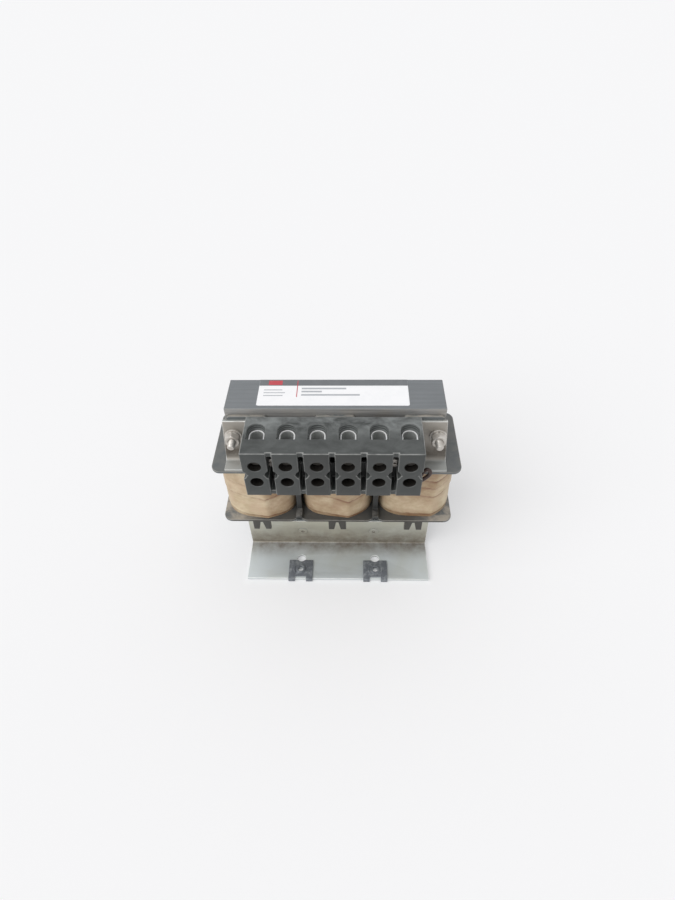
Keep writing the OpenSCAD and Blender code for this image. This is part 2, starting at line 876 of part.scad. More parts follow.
module lower_terminal_screws() {
    terminal_screw_row(lower_well, lower_tip);
}

// Screws that hold the strip, through its web into the terminal bracket
module strip_screws() {
    color(zinc)
        at_strip()
            for (gap = screwed_gaps)
                translate([(pole_x(gap) + pole_x(gap + 1)) / 2, strip_h / 2, -sheet_t])
                    slotted_screw(strip_screw_d, web_d + sheet_t, strip_screw_head_d, strip_screw_head_h);
}

// Smooth curve through a route's points, and a tube swept along it
function spline(a, b, c, d, t) =
    0.5 * ((2 * b) + (c - a) * t + (2 * a - 5 * b + 4 * c - d) * t * t + (3 * b - a - 3 * c + d) * t * t * t);
function smooth_route(p) = concat([
    for (k = [0 : len(p) - 2], s = [0 : lead_steps - 1])
        spline(p[max(k - 1, 0)], p[k], p[k + 1], p[min(k + 2, len(p) - 1)], s / lead_steps)
], [p[len(p) - 1]]);
function unit(v) = v / norm(v);
function run_at(p, k) = unit(p[min(k + 1, len(p) - 1)] - p[max(k - 1, 0)]);
function ring_at(p, k, r) =
    let (run = run_at(p, k))
    let (across = unit(cross(run, [0, 1, 0.3])))
    let (over = cross(run, across))
    [for (s = [0 : lead_sides - 1])
        let (a = 360 * s / lead_sides)
        p[k] + r * cos(a) * across + r * sin(a) * over];

module swept_tube(route, d) {
    p = smooth_route(route);
    rings = len(p);
    points = [for (k = [0 : rings - 1]) each ring_at(p, k, d / 2)];
    walls = [
        for (k = [0 : rings - 2], s = [0 : lead_sides - 1])
            let (n = (s + 1) % lead_sides)
            [k * lead_sides + n, k * lead_sides + s, (k + 1) * lead_sides + s, (k + 1) * lead_sides + n]
    ];
    first = [for (s = [0 : lead_sides - 1]) s];
    last = [for (s = [lead_sides - 1 : -1 : 0]) (rings - 1) * lead_sides + s];
    polyhedron(points, concat(walls, [first, last]), convexity = 6);
}

module coil_lead(k) {
    color(sleeve)
        swept_tube(lead_route(k), lead_d);
}

module rating_label() {
    color(paper_white)
        translate([label_x, label_y, core_top])
            linear_extrude(label_t)
                round_rect(label_w, label_d, 1);
}

core_e_stack();
core_yoke_bar();
for (i = [0 : 2]) {
    gap_spacer(i);
    bobbin(i);
    winding(i);
    coil_wrap(i);
}
for (side = [-1, 1]) {
    coil_spacer(side);
    clip_nut(side);
}
front_foot_bracket();
rear_foot_bracket();
foot_rivets();
terminal_bracket();
clamp_bolts();
flat_washers();
lock_washers();
clamp_nuts();
terminal_housing();
for (i = [0 : POLES - 1]) {
    terminal_barrel(i);
    coil_lead(i);
}
upper_terminal_screws();
lower_terminal_screws();
strip_screws();
rating_label();
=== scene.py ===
"""Looks of a three-phase line reactor: refined pieces, finishes, studio and camera.

Sizes are in millimetres unless a name says otherwise, in the frame of the solid model:
X along the core, -Y towards the terminal strip, +Z up.
"""
from __future__ import annotations

import logging
import math
from dataclasses import dataclass
from enum import Enum
from typing import Any, Callable, Iterable, Sequence

import bmesh
import bpy
from mathutils import Matrix, Vector, noise

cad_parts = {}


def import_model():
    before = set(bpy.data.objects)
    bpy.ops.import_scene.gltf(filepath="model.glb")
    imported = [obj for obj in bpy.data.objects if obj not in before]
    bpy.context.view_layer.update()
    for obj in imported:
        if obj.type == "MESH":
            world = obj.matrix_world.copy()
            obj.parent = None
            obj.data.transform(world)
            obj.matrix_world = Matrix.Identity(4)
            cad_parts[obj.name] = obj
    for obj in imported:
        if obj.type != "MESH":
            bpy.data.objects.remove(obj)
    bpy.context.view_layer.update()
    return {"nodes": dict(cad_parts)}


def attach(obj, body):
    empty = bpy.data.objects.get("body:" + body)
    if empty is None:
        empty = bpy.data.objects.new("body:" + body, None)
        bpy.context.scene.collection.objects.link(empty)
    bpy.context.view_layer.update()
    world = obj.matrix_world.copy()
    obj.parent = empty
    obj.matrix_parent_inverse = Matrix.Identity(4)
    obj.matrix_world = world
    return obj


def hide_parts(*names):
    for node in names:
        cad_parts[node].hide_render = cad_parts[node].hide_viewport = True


LOG = logging.getLogger("line_reactor")
BODY = "root"
MM = 0.001
# Points this close are one point, and faces that turn less than this are one face.
MERGE_MM = 0.002
FLAT_DEG = 0.4
# Edges that turn more than this are broken.
SHARP_DEG = 35.0
# How much painted highlight a broken edge gets: what each has, what facing up or left, towards the
# lamp, adds, and the least.
EDGE_LIGHT, EDGE_UP, EDGE_LEFT, EDGE_LEAST = 0.35, 0.9, 0.45, 0.1
# Length of the patches into which the painted highlight on an edge breaks.
HIGHLIGHT_PATCH_MM = 4.0
# Length in metres over which a wave texture of scale 1 repeats.
WAVE = 0.314

Socket = bpy.types.NodeSocket
# Says from a face's middle in mm and its normal how much of a mark the face keeps.
Rule = Callable[[Vector, Vector], float]


class Side(Enum):
    """The three legs of the core, from left to right."""

    LEFT = -1
    MIDDLE = 0
    RIGHT = 1

    @property
    def label(self) -> str:
        """Name of the side as the solid model's nodes use it."""
        return self.name.lower()


OUTER_SIDES = (Side.LEFT, Side.RIGHT)


class Edge(Enum):
    """How the edges of a piece are broken: width of the bevel in mm and its segments."""

    HOUSING = (0.4, 3)
    MOULDED = (0.3, 3)
    SHEET = (0.28, 3)
    CRISP = (0.14, 2)
    RIM = (0.26, 2)
    STACKED = (0.3, 2)
    FILM = (0.05, 1)

    @property
    def width(self) -> float:
        """Width of the bevel in mm."""
        return self.value[0]

    @property
    def segments(self) -> int:
        """Number of faces across the bevel."""
        return self.value[1]


def linear(code: str) -> tuple[float, float, float, float]:
    """Turns an sRGB hex colour into linear light.

    Args:
        code: colour such as "#7d8183".

    Returns:
        Linear red, green, blue and an alpha of 1.
    """
    parts = [int(code[k:k + 2], 16) / 255 for k in (1, 3, 5)]
    light = [p / 12.92 if p <= 0.04045 else ((p + 0.055) / 1.055) ** 2.4 for p in parts]
    return light[0], light[1], light[2], 1.0


def per(size: float) -> float:
    """Scale of a texture whose features are `size` millimetres across."""
    return 1 / (size * MM)


def soft_step(x: float) -> float:
    """Rises from 0 to 1, mostly between -3 and 3."""
    return 1 / (1 + math.exp(-x))


RGBA = {"data_type": "RGBA"}
TIMES = {"operation": "MULTIPLY"}
TIMES_PLUS = {"operation": "MULTIPLY_ADD"}
MINUS = {"operation": "SUBTRACT"}
LARGER = {"operation": "MAXIMUM"}
SIZELESS = {"operation": "ABSOLUTE"}


class Graph:
    """Nodes of one material or of the world."""

    def __init__(self, owner: bpy.types.Material | bpy.types.World) -> None:
        """Starts with an empty node tree.

        Args:
            owner: material or world that has the nodes.
        """
        owner.use_nodes = True
        self.tree = owner.node_tree
        self.tree.nodes.clear()

    def add(self, kind: str, inputs: Sequence[Any] | dict[str, Any] = (), out: str = "Fac",
            **settings: Any) -> Socket | None:
        """Adds one node with its settings, values and links.

        Args:
            kind: type name of the node, without its leading "ShaderNode".
            inputs: values, hex colours or sockets, by name or in the order in which they show.
            out: name of the output to use; where there is none, it is the first that shows.
            settings: properties of the node, by name.

        Returns:
            The output, if the node has any.
        """
        node = self.tree.nodes.new("ShaderNode" + kind)
        for key, value in settings.items():
            setattr(node, key, value)
        if isinstance(inputs, dict):
            pairs = [(node.inputs[key], value) for key, value in inputs.items()]
        else:
            pairs = list(zip([s for s in node.inputs if s.enabled], inputs))
        for target, value in pairs:
            if isinstance(value, Socket):
                self.tree.links.new(value, target)
            else:
                target.default_value = linear(value) if isinstance(value, str) else value
        return node.outputs.get(out) or next((s for s in node.outputs if s.enabled), None)

    def place(self, stretch: tuple[float, float, float] = (1, 1, 1)) -> Socket:
        """Object coordinates, stretched so that a pattern can run along one axis.

        Args:
            stretch: factor on each axis.

        Returns:
            The vector.
        """
        where = self.add("TexCoord", out="Object")
        return self.add("Mapping", {"Vector": where, "Scale": stretch})

    def along(self, axis: str) -> Socket:
        """Place in metres along an axis, "X", "Y" or "Z"."""
        return self.add("SeparateXYZ", [self.place()], out=axis)

    def facing(self, axis: str, start: float, full: float) -> Socket:
        """How much a surface faces up, or either way along X or Y.

        Args:
            axis: "X", "Y" or "Z".
            start: size of the normal's part along the axis at which the share starts.
            full: size at which it is whole.

        Returns:
            The share, from 0 to 1.
        """
        part = self.add("SeparateXYZ", [self.add("TexCoord", out="Normal")], out=axis)
        if axis != "Z":
            part = self.add("Math", [part], **SIZELESS)
        return self.add("MapRange", [part, start, full])

    def lit_edges(self, tone: Socket, colour: str, share: float) -> Socket:
        """Paints a highlight on the broken edges, broken up in patches.

        Args:
            tone: colour so far.
            colour: colour of the edges.
            share: how much of it shows where it shows most.

        Returns:
            The new colour.
        """
        uneven = self.add("TexNoise", [self.place(), per(HIGHLIGHT_PATCH_MM), 3])
        part = self.add("MapRange", [uneven, 0.32, 0.62, 0.4 * share, share])
        edge = self.add("Attribute", attribute_name="edge")
        amount = self.add("Math", [edge, part], **TIMES)
        return self.add("Mix", [amount, tone, colour], **RGBA)


@dataclass(frozen=True)
class Surface:
    """What a finish gives the shader."""

    colour: Socket
    # Pattern that the roughness follows, and the roughness at its low and high end.
    wear: Socket
    rough: tuple[float, float]
    # Pattern that stands out of the surface, how strongly, and its height in mm.
    relief: Socket
    strength: float
    height: float
    metallic: float = 0.0


@dataclass(frozen=True)
class Finish:
    """What all finishes share: a name, a record slot and one Principled shader."""

    name: str
    slot: str

    def material(self) -> bpy.types.Material:
        """Makes the material, or finds it where it has been made.

        Returns:
            The material of this finish.
        """
        made = bpy.data.materials.get(self.name)
        if made is not None:
            return made
        material = bpy.data.materials.new(self.name)
        graph = Graph(material)
        look = self.paint(graph)
        rough = graph.add("MapRange", [look.wear, 0, 1, *look.rough])
        bump = graph.add("Bump", {"Strength": look.strength, "Distance": look.height * MM,
                                  "Height": look.relief})
        shader = graph.add("BsdfPrincipled", {"Base Color": look.colour, "Roughness": rough,
                                              "Metallic": look.metallic, "Normal": bump})
        graph.add("OutputMaterial", [shader])
        return material

    def paint(self, graph: Graph) -> Surface:
        """Mixes the finish's patterns; each kind of finish has its own.

        Args:
            graph: nodes of the material.

        Returns:
            What the shader takes.
        """
        raise NotImplementedError


@dataclass(frozen=True)
class VarnishedLaminations(Finish):
    """Varnish over stacked steel sheets: grey streaks along them, browner faces painted lighter as
    painted light, painted highlights on edges, dull gloss.
    """

    dark: str = "#6d7174"
    light: str = "#8a8e91"
    # Browner tint of the sheets' faces, painted lighter so that faces turned from the light show as
    # bright as the top: painted light.
    face: str = "#a39f99"
    face_dark: str = "#75716b"
    groove: str = "#46494b"
    # Colour of the painted highlight on broken edges.
    edge: str = "#a5a5a2"
    edge_share: float = 0.7
    # Widths of the streaks on the sheets' edges and faces, of blotches and of specks.
    streak: float = 1.2
    drawn: float = 1.6
    blotch: float = 11.0
    speck: float = 0.8

    def paint(self, graph: Graph) -> Surface:
        """Mixes blotches, streaks along the sheets and a browner tint on the sheets' faces, painted
        lighter as painted light.

        Args:
            graph: nodes of the material.

        Returns:
            What the shader takes.
        """
        add = graph.add
        streaks = add("TexNoise", [graph.place((0.05, 1, 1)), per(self.streak), 4])
        blotches = add("TexNoise", [graph.place(), per(self.blotch), 5, 0.62])
        specks = add("TexNoise", [graph.place(), per(self.speck), 2])
        blend = add("Math", [streaks, 0.7, -0.1], **TIMES_PLUS)
        blend = add("Math", [blotches, 0.5, blend], **TIMES_PLUS)
        tone = add("Mix", [blend, self.dark, self.light], **RGBA)
        stain = add("MapRange", [blotches, 0.3, 0.65, 0.9, 0.45])
        # Faces along Y take the browner tint, painted lighter as painted light.
        share = add("Math", [graph.facing("Y", 0.4, 0.9), stain], **TIMES)
        drawn = add("TexNoise", [graph.place((0.03, 1, 1)), per(self.drawn), 5])
        drawn = add("MapRange", [drawn, 0.35, 0.65])
        face = add("Mix", [drawn, self.face_dark, self.face], **RGBA)
        tone = add("Mix", [share, tone, face], **RGBA)
        between = add("Attribute", attribute_name="groove")
        tone = add("Mix", [between, tone, self.groove], **RGBA)
        tone = graph.lit_edges(tone, self.edge, self.edge_share)
        height = add("Math", [specks, 0.3, blend], **TIMES_PLUS)
        return Surface(tone, wear=blotches, rough=(0.42, 0.66), relief=height, strength=0.5,
                       height=0.06)


@dataclass(frozen=True)
class MouldedPlastic(Finish):
    """Filled moulded plastic: fine grain, faint flow marks, pale dust on upward faces, painted
    shade low down near the middle, faces marked darker, and painted highlights on edges.
    """

    base: str = "#3c403f"
    flow: str = "#454948"
    dust: str = "#7c807f"
    # Colour of the painted highlight on broken edges.
    edge: str = "#8c8e8c"
    dust_share: float = 0.6
    edge_share: float = 0.7
    roughness: float = 0.45
    # Painted shade below a height, fading in over some of it, which gives way between two
    # distances from the part's middle to dust on the low corners, there painted light.
    # Colour of the painted shade, also used for faces marked darker.
    dark_tone: str = "#37342f"
    shade_share: float = 0.0
    shade_top: float = 60.0
    shade_fade: float = 5.0
    shade_span: tuple[float, float] = (42.0, 56.0)
    # How much dust colour lies on the low outer corners: painted light.
    corner_light: float = 1.6
    # Where dust gathers: an axis, the place where it starts and that from which it lies thick.
    gathers: tuple[str, float, float] = ("Z", 100.0, 112.0)
    # Widths of the flow marks and of smears in the dust.
    mark: float = 16.0
    smear: float = 7.0
    # Pitch of the arcs of dust on marked walls, dust that also lightens them as painted light.
    rib: float = 1.3
    # Size of the moulded grain; the real one is about 0.1 mm and is drawn coarser to show.
    grain: float = 0.5

    def paint(self, graph: Graph) -> Surface:
        """Mixes flow marks, dust, painted shade, painted light and darker marked faces, with a fine
        moulded grain.

        Args:
            graph: nodes of the material.

        Returns:
            What the shader takes.
        """
        add = graph.add
        flow = add("TexNoise", {"Vector": graph.place(), "Scale": per(self.mark), "Detail": 4,
                                "Distortion": 0.8})
        grain = add("TexNoise", [graph.place(), per(self.grain), 3])
        smears = add("TexNoise", {"Vector": graph.place((0.7, 1, 1)), "Scale": per(self.smear),
                                  "Detail": 5, "Roughness": 0.62, "Distortion": 0.4})
        tone = add("Mix", [flow, self.base, self.flow], **RGBA)
        film = add("MapRange", [smears, 0.36, 0.64, 0, self.dust_share])
        axis, start, full = self.gathers
        thick = add("MapRange", [graph.along(axis), start * MM, full * MM, 0.25, 1])
        # Painted shade low down near the middle; outside it the low corners take dust as painted
        # light.
        low = add("MapRange", [graph.along("Z"), (self.shade_top - self.shade_fade) * MM,
                               self.shade_top * MM, 1, 0])
        aside = add("Math", [graph.along("X")], **SIZELESS)
        near, far = self.shade_span
        inner = add("MapRange", [aside, near * MM, far * MM, 1, 0])
        middle = add("Math", [low, inner], **TIMES)
        corners = add("Math", [low, middle], **MINUS)
        corners = add("Math", [corners, self.corner_light], **TIMES)
        thick = add("Math", [thick, corners], **LARGER)
        dusty = add("Math", [graph.facing("Z", 0.3, 0.95), film], **TIMES)
        dusty = add("Math", [dusty, thick], **TIMES)
        arcs = add("TexWave", [graph.place(), WAVE * per(self.rib), 3, 2, 1.5], bands_direction="Z")
        # Dust in arcs on marked walls, also lightening them as painted light.
        walls = add("Math", [add("Attribute", attribute_name="dust"), arcs], **TIMES)
        dusty = add("Math", [dusty, walls], **LARGER)
        tone = add("Mix", [dusty, tone, self.dust], **RGBA)
        # Painted shade low down near the middle, and the faces marked darker.
        dark_share = add("Math", [middle, self.shade_share], **TIMES)
        dark_share = add("Math", [dark_share, add("Attribute", attribute_name="soot")], **LARGER)
        tone = add("Mix", [dark_share, tone, self.dark_tone], **RGBA)
        tone = graph.lit_edges(tone, self.edge, self.edge_share)
        rough = (self.roughness - 0.08, self.roughness + 0.14)
        return Surface(tone, smears, rough, relief=grain, strength=0.35, height=0.05)


@dataclass(frozen=True)
class ZincSheet(Finish):
    """Zinc-plated sheet: matte grey, cloudy, with rolling lines, upright faces darker as painted
    shade, and brown by the fold: painted shade, on the tab partly also a real stain.
    """

    lying: str = "#cdd3d4"
    # Upright faces: the same zinc painted darker as painted shade, and warmer.
    upright: str = "#bbb9aa"
    warm: str = "#c2c5bd"
    # Brown by the fold: painted shade, on the tab partly also a real stain.
    stain: str = "#6b5f52"
    # Colour of the painted highlight on broken edges; the rivets use it for their dark dimples
    # instead.
    edge: str = "#f0f1ee"
    edge_share: float = 0.9
    # Line of the fold in Y and Z, and how far the brown by it reaches.
    fold: tuple[float, float] = (13.0, 2.4)
    reach: float = 15.0
    # The upright leg's tint, painted shade, fades between these two distances from the fold.
    leg_fade: tuple[float, float] = (3.0, 6.0)
    # Heights count this much in the reach of the brown by the fold, so that it creeps further up
    # the leg.
    climb: float = 0.62
    # How much of the brown by the fold shows where it is thickest.
    stain_and_shade_share: float = 0.95
    # Share of the brown by the fold that is left in the gaps between its patches.
    patchy: float = 0.45
    roughness: float = 0.5
    # Widths of the passivation's clouds and of the patches of the brown by the fold.
    cloud: float = 26.0
    spot: float = 6.0
    # Rolling lines are about 0.1 mm wide and are drawn coarser to show.
    line: float = 0.8
    rolling: tuple[float, float, float] = (0.04, 1, 1)

    def paint(self, graph: Graph) -> Surface:
        """Mixes painted shade on upright faces, the passivation's clouds, brown that spreads from
        the fold, and rolling lines.

        Args:
            graph: nodes of the material.

        Returns:
            What the shader takes.
        """
        add = graph.add
        clouds = add("TexNoise", {"Vector": graph.place(), "Scale": per(self.cloud), "Detail": 3,
                                  "Distortion": 0.6})
        lines = add("TexNoise", [graph.place(self.rolling), per(self.line), 4])
        spots = add("TexNoise", [graph.place(), per(self.spot), 6, 0.68])
        aside = add("Math", [graph.along("Y")], **SIZELESS)
        fold_y, fold_z = self.fold
        # Upright faces near the fold: painted shade.
        leg = add("MapRange", [aside, *((fold_y + far) * MM for far in self.leg_fade), 1, 0])
        leg = add("Math", [graph.facing("Y", 0.3, 0.8), leg], **TIMES)
        tone = add("Mix", [leg, self.lying, self.upright], **RGBA)
        tint = add("MapRange", [clouds, 0.4, 0.65, 0, 0.55])
        tone = add("Mix", [tint, tone, self.warm], **RGBA)
        # Brown spreading from the fold: painted shade, on the tab partly also a real stain.
        above = add("Math", [graph.along("Z"), self.climb], **TIMES)
        away = add("CombineXYZ", {"Y": aside, "Z": above})
        line = (0, fold_y * MM, fold_z * self.climb * MM)
        away = add("VectorMath", [away, line], operation="DISTANCE")
        near = add("MapRange", [away, 0, self.reach * MM, 1, 0], interpolation_type="SMOOTHSTEP")
        patches = add("MapRange", [spots, 0.3, 0.7, self.patchy, 1])
        stain_and_shade = add("Math", [near, patches], **TIMES)
        stain_and_shade = add("Math", [stain_and_shade, self.stain_and_shade_share], **TIMES)
        tone = add("Mix", [stain_and_shade, tone, self.stain], **RGBA)
        tone = graph.lit_edges(tone, self.edge, self.edge_share)
        rough = (self.roughness - 0.12, self.roughness + 0.16)
        return Surface(tone, lines, rough, relief=lines, strength=0.3, height=0.03,
                       metallic=0.35)


@dataclass(frozen=True)
class PlatedMetal(Finish):
    """Plated turned or pressed metal: soft reflections, faint tool marks, dull patches and painted
    highlights on edges and upward faces.
    """

    bright: str = "#d1cdc7"
    dull: str = "#b1aba3"
    # Colour of the painted highlight on broken edges.
    edge: str = "#e8e6e2"
    edge_share: float = 0.85
    # Colour of faces that face up: a painted highlight where it is lighter than the plating.
    lip: str = "#d1cdc7"
    roughness: float = 0.4
    metallic: float = 0.55
    patch: float = 3.0
    # Tool marks are about 0.1 mm apart and are drawn coarser to show.
    mark: float = 0.9

    def paint(self, graph: Graph) -> Surface:
        """Mixes bright plating with duller patches, painted highlights and fine tool marks.

        Args:
            graph: nodes of the material.

        Returns:
            What the shader takes.
        """
        add = graph.add
        patches = add("TexNoise", [graph.place(), per(self.patch), 4])
        marks = add("TexNoise", [graph.place((1, 5, 1)), per(self.mark), 3])
        share = add("MapRange", [patches, 0.35, 0.7])
        tone = add("Mix", [share, self.bright, self.dull], **RGBA)
        # Faces that face up take the upward colour, a painted highlight where it is lighter than
        # the plating.
        tone = add("Mix", [graph.facing("Z", 0.8, 0.98), tone, self.lip], **RGBA)
        tone = graph.lit_edges(tone, self.edge, self.edge_share)
        rough = (self.roughness - 0.08, self.roughness + 0.14)
        return Surface(tone, patches, rough, relief=marks, strength=0.2, height=0.015,
                       metallic=self.metallic)


@dataclass(frozen=True)
class PhosphatedSpring(Finish):
    """Phosphated spring strip: slate grey, fine crystalline mottling, worn lighter in places."""

    slate: str = "#70747a"
    worn: str = "#a4a9ac"
    # Colour of the painted highlight on broken edges.
    edge: str = "#989c9f"
    edge_share: float = 0.6
    rub: float = 3.5
    # The crystals are about 0.05 mm across and are drawn coarser to show.
    crystal: float = 0.5

    def paint(self, graph: Graph) -> Surface:
        """Mixes the phosphate's mottling with rubbed patches.

        Args:
            graph: nodes of the material.

        Returns:
            What the shader takes.
        """
        add = graph.add
        mottle = add("TexVoronoi", [graph.place(), per(self.crystal)])
        rubbed = add("TexNoise", [graph.place(), per(self.rub), 6, 0.68])
        share = add("MapRange", [rubbed, 0.48, 0.66, 0, 0.75])
        tone = add("Mix", [share, self.slate, self.worn], **RGBA)
        tone = graph.lit_edges(tone, self.edge, self.edge_share)
        return Surface(tone, wear=mottle, rough=(0.42, 0.6), relief=mottle, strength=0.3,
                       height=0.02, metallic=0.3)


@dataclass(frozen=True)
class CrepeTape(Finish):
    """Varnished crepe tape: cream, with fibres along the wrap, brown varnish at the laps, and
    browner parts that are partly painted shade.
    """

    cream: str = "#dfd0b2"
    tan: str = "#ad9775"
    rose: str = "#c4aa90"
    # Brown of soaked varnish, also painted shade under the top flange and at the foot, and painted
    # light and shade on the facets.
    brown: str = "#8a6848"
    varnish: str = "#6f4029"
    # Widths of the varnish's clouds, of rosy patches and of the tape's crimps.
    cloud: float = 8.0
    patch: float = 6.0
    crimp: float = 1.1
    # Thickness of a bundle of fibres; the real ones are about 0.1 mm and are drawn coarser.
    fibre: float = 0.6

    def paint(self, graph: Graph) -> Surface:
        """Mixes fibres along the wrap with varnish that has run into the laps, and browner parts
        that are partly painted shade.

        Args:
            graph: nodes of the material.

        Returns:
            What the shader takes.
        """
        add = graph.add
        fibres = add("TexNoise", [graph.place((0.06, 0.06, 1)), per(self.fibre), 5, 0.6])
        crimps = add("TexNoise", [graph.place((1, 1, 0.3)), per(self.crimp), 3])
        clouds = add("TexNoise", [graph.place((0.7, 0.7, 1)), per(self.cloud), 5, 0.62])
        patches = add("TexNoise", [graph.place(), per(self.patch), 3])
        share = add("Math", [clouds, 2, -0.72], **TIMES_PLUS)
        share = add("Math", [fibres, 0.35, share], use_clamp=True, **TIMES_PLUS)
        tone = add("Mix", [share, self.cream, self.tan], **RGBA)
        rosy = add("MapRange", [patches, 0.45, 0.65, 0, 0.5])
        tone = add("Mix", [rosy, tone, self.rose], **RGBA)
        # Brown where the coil is marked: partly soaked varnish, partly painted shade.
        soak = add("MapRange", [clouds, 0.35, 0.65, 0.5, 1])
        soaked = add("Math", [add("Attribute", attribute_name="brown"), soak], **TIMES)
        tone = add("Mix", [soaked, tone, self.brown], **RGBA)
        runs = add("MapRange", [clouds, 0.38, 0.62, 0.25, 1])
        dark = add("Math", [add("Attribute", attribute_name="lap"), runs], **TIMES)
        tone = add("Mix", [dark, tone, self.varnish], **RGBA)
        height = add("Math", [fibres, crimps], operation="ADD")
        return Surface(tone, wear=clouds, rough=(0.68, 0.42), relief=height, strength=0.5,
                       height=0.15)


@dataclass(frozen=True)
class VarnishedSleeve(Finish):
    """Varnished sleeving on a lead: dark brown with lighter rubbed ribs and a soft gloss."""

    dark: str = "#2b1a15"
    light: str = "#5a3d33"
    rub: float = 2.0
    # Pitch of the sleeve's braid; the real one is about 0.3 mm and is drawn coarser to show.
    braid: float = 0.7

    def paint(self, graph: Graph) -> Surface:
        """Mixes slanting bands into a braid, rubbed lighter in places.

        Args:
            graph: nodes of the material.

        Returns:
            What the shader takes.
        """
        add = graph.add
        braid = add("TexWave", [graph.place(), WAVE * per(self.braid), 0.4],
                    bands_direction="DIAGONAL")
        rubbed = add("TexNoise", [graph.place(), per(self.rub), 4])
        share = add("Math", [braid, rubbed], **TIMES)
        tone = add("Mix", [share, self.dark, self.light], **RGBA)
        return Surface(tone, wear=rubbed, rough=(0.34, 0.56), relief=braid, strength=0.4,
                       height=0.06)


@dataclass(frozen=True)
class PrintedFilm(Finish):
    """Label film, the ink on it, or board: an even colour with a faint grain and light scuffs."""

    colour: str = "#fdfdfe"
    scuffed: str = "#f6f7f9"
    roughness: float = 0.4
    scuff: float = 5.0
    grain: float = 0.3

    def paint(self, graph: Graph) -> Surface:
        """Mixes light scuffs into an even colour.

        Args:
            graph: nodes of the material.

        Returns:
            What the shader takes.
        """
        add = graph.add
        scuffs = add("TexNoise", [graph.place(), per(self.scuff), 6, 0.7])
        grain = add("TexNoise", [graph.place(), per(self.grain), 2])
        share = add("MapRange", [scuffs, 0.45, 0.75])
        tone = add("Mix", [share, self.colour, self.scuffed], **RGBA)
        rough = (self.roughness - 0.06, self.roughness + 0.15)
        return Surface(tone, scuffs, rough, relief=grain, strength=0.15, height=0.01)


# Clear varnish on silicon steel: dull grey, with a sheen along the sheets, and the sheets' faces
# painted lighter as painted light.
CORE_VARNISH = VarnishedLaminations("varnished_silicon_steel", "varnished_core")
# Glass-filled nylon: mid grey with tan dust, which also lightens lit tops as painted light, painted
# shade low down between the feet, and painted light on the low outer corners.
BOBBIN_NYLON = MouldedPlastic(
    "moulded_grey_nylon", "bobbin_moulding", base="#5b5f60", flow="#676b6c", dust="#a49d92",
    edge="#a9a59c", dust_share=0.9, edge_share=0.5, shade_share=0.6)
# The same moulding painted near black as painted shade between the coils; its thick dust also
# lightens the lit ledges as painted light.
SPACER_NYLON_SHADED = MouldedPlastic(
    "moulded_nylon_painted_shade", "bobbin_moulding", base="#212221", flow="#292a29", dust="#8a8986",
    edge="#4c4d4b", dust_share=0.9, gathers=("Z", 30.0, 40.0))
# Charcoal nylon: wells darkened as painted shade, some poles' fronts darker, pale dust along the
# back of the top, and painted highlights on the top edges.
STRIP_NYLON = MouldedPlastic(
    "moulded_charcoal_nylon", "strip_moulding", base="#353837", flow="#3e4140", dust="#8f9392",
    edge="#b4b5b2", dust_share=0.7, edge_share=0.6, dark_tone="#1a1714", gathers=("Y", -30.0, -21.0))
# Zinc on rolled sheet: pale cool grey where it lies; darker and warmer upright and brown towards
# the fold, both painted shade; painted highlights on edges.
ZINC_FOOT = ZincSheet("zinc_plated_foot_sheet", "zinc_plate")
# The same zinc on pressed rivets: dark brown in the dimples of their heads.
ZINC_RIVET = ZincSheet("zinc_plated_rivet", "zinc_plate", edge="#4f4236", edge_share=1.0)
# The same sheet in a darker matte grey, with dark brown along the fold, partly a real stain and
# partly painted shade.
ZINC_TAB = ZincSheet(
    "zinc_plated_tab_sheet", "zinc_plate", lying="#a5a8a5", upright="#9e9991", warm="#a7a29a",
    stain="#43382b", fold=(15.0, 91.0), reach=8.0, climb=0.9, patchy=0.3, rolling=(1, 1, 0.04))
# Zinc on turned steel: pale warm grey with painted highlights on its edges.
ZINC_FASTENER = PlatedMetal("zinc_plated_steel", "zinc_fastener")
# Nickel on screws deep in their wells, painted dim grey as painted shade.
NICKEL_SCREW_SHADED = PlatedMetal("nickel_plated_screw_painted_shade", "nickel_plate", bright="#6f6c67", dull="#55514c",
                           lip="#6f6c67", edge="#8a8680")
# Tumbled nickel on brass: dull grey, with a painted white highlight on its rim and on faces that
# face up.
NICKEL_BARREL = PlatedMetal(
    "tumbled_nickel_plated_brass", "nickel_plate", bright="#a3a5a3", dull="#8f918f",
    edge="#ffffff", edge_share=1.0, lip="#fbfbfa", roughness=0.5, metallic=0.2, patch=6.0)
# Phosphate on spring strip: slate grey, rubbed pale.
SPRING = PhosphatedSpring("phosphated_spring_steel", "spring_steel")
# Crepe tape under varnish: cream to tan, with brown lines where turns overlap, and browner parts
# that are partly painted light and shade.
TAPE = CrepeTape("varnished_crepe_tape", "coil_tape")
# Braided sleeving under varnish: nearly black brown with a soft gloss.
SLEEVE = VarnishedSleeve("varnished_braided_sleeve", "lead_sleeve")
# Pressed fibre board: flat tan.
BOARD = PrintedFilm("tan_fibre_board", "fibre_board", "#b49a72", "#8f7752", roughness=0.7)
# Enamel on copper: red brown with soft reflections.
WIRE = PlatedMetal("enamelled_copper_wire", "enamelled_wire", bright="#a4552c", dull="#7c3a1c",
                   lip="#a4552c", roughness=0.35)
# Label film and its inks: even, slightly glossy fields.
FILM = PrintedFilm("white_label_film", "label_film")
INK_GREY = PrintedFilm("grey_label_ink", "label_film", "#6e7174", "#777a7d")
INK_RED = PrintedFilm("red_label_ink", "label_film", "#c2454f", "#ca5e66")
INK_PALE = PrintedFilm("pale_grey_label_ink", "label_film", "#b4b7bb", "#c2c4c8")


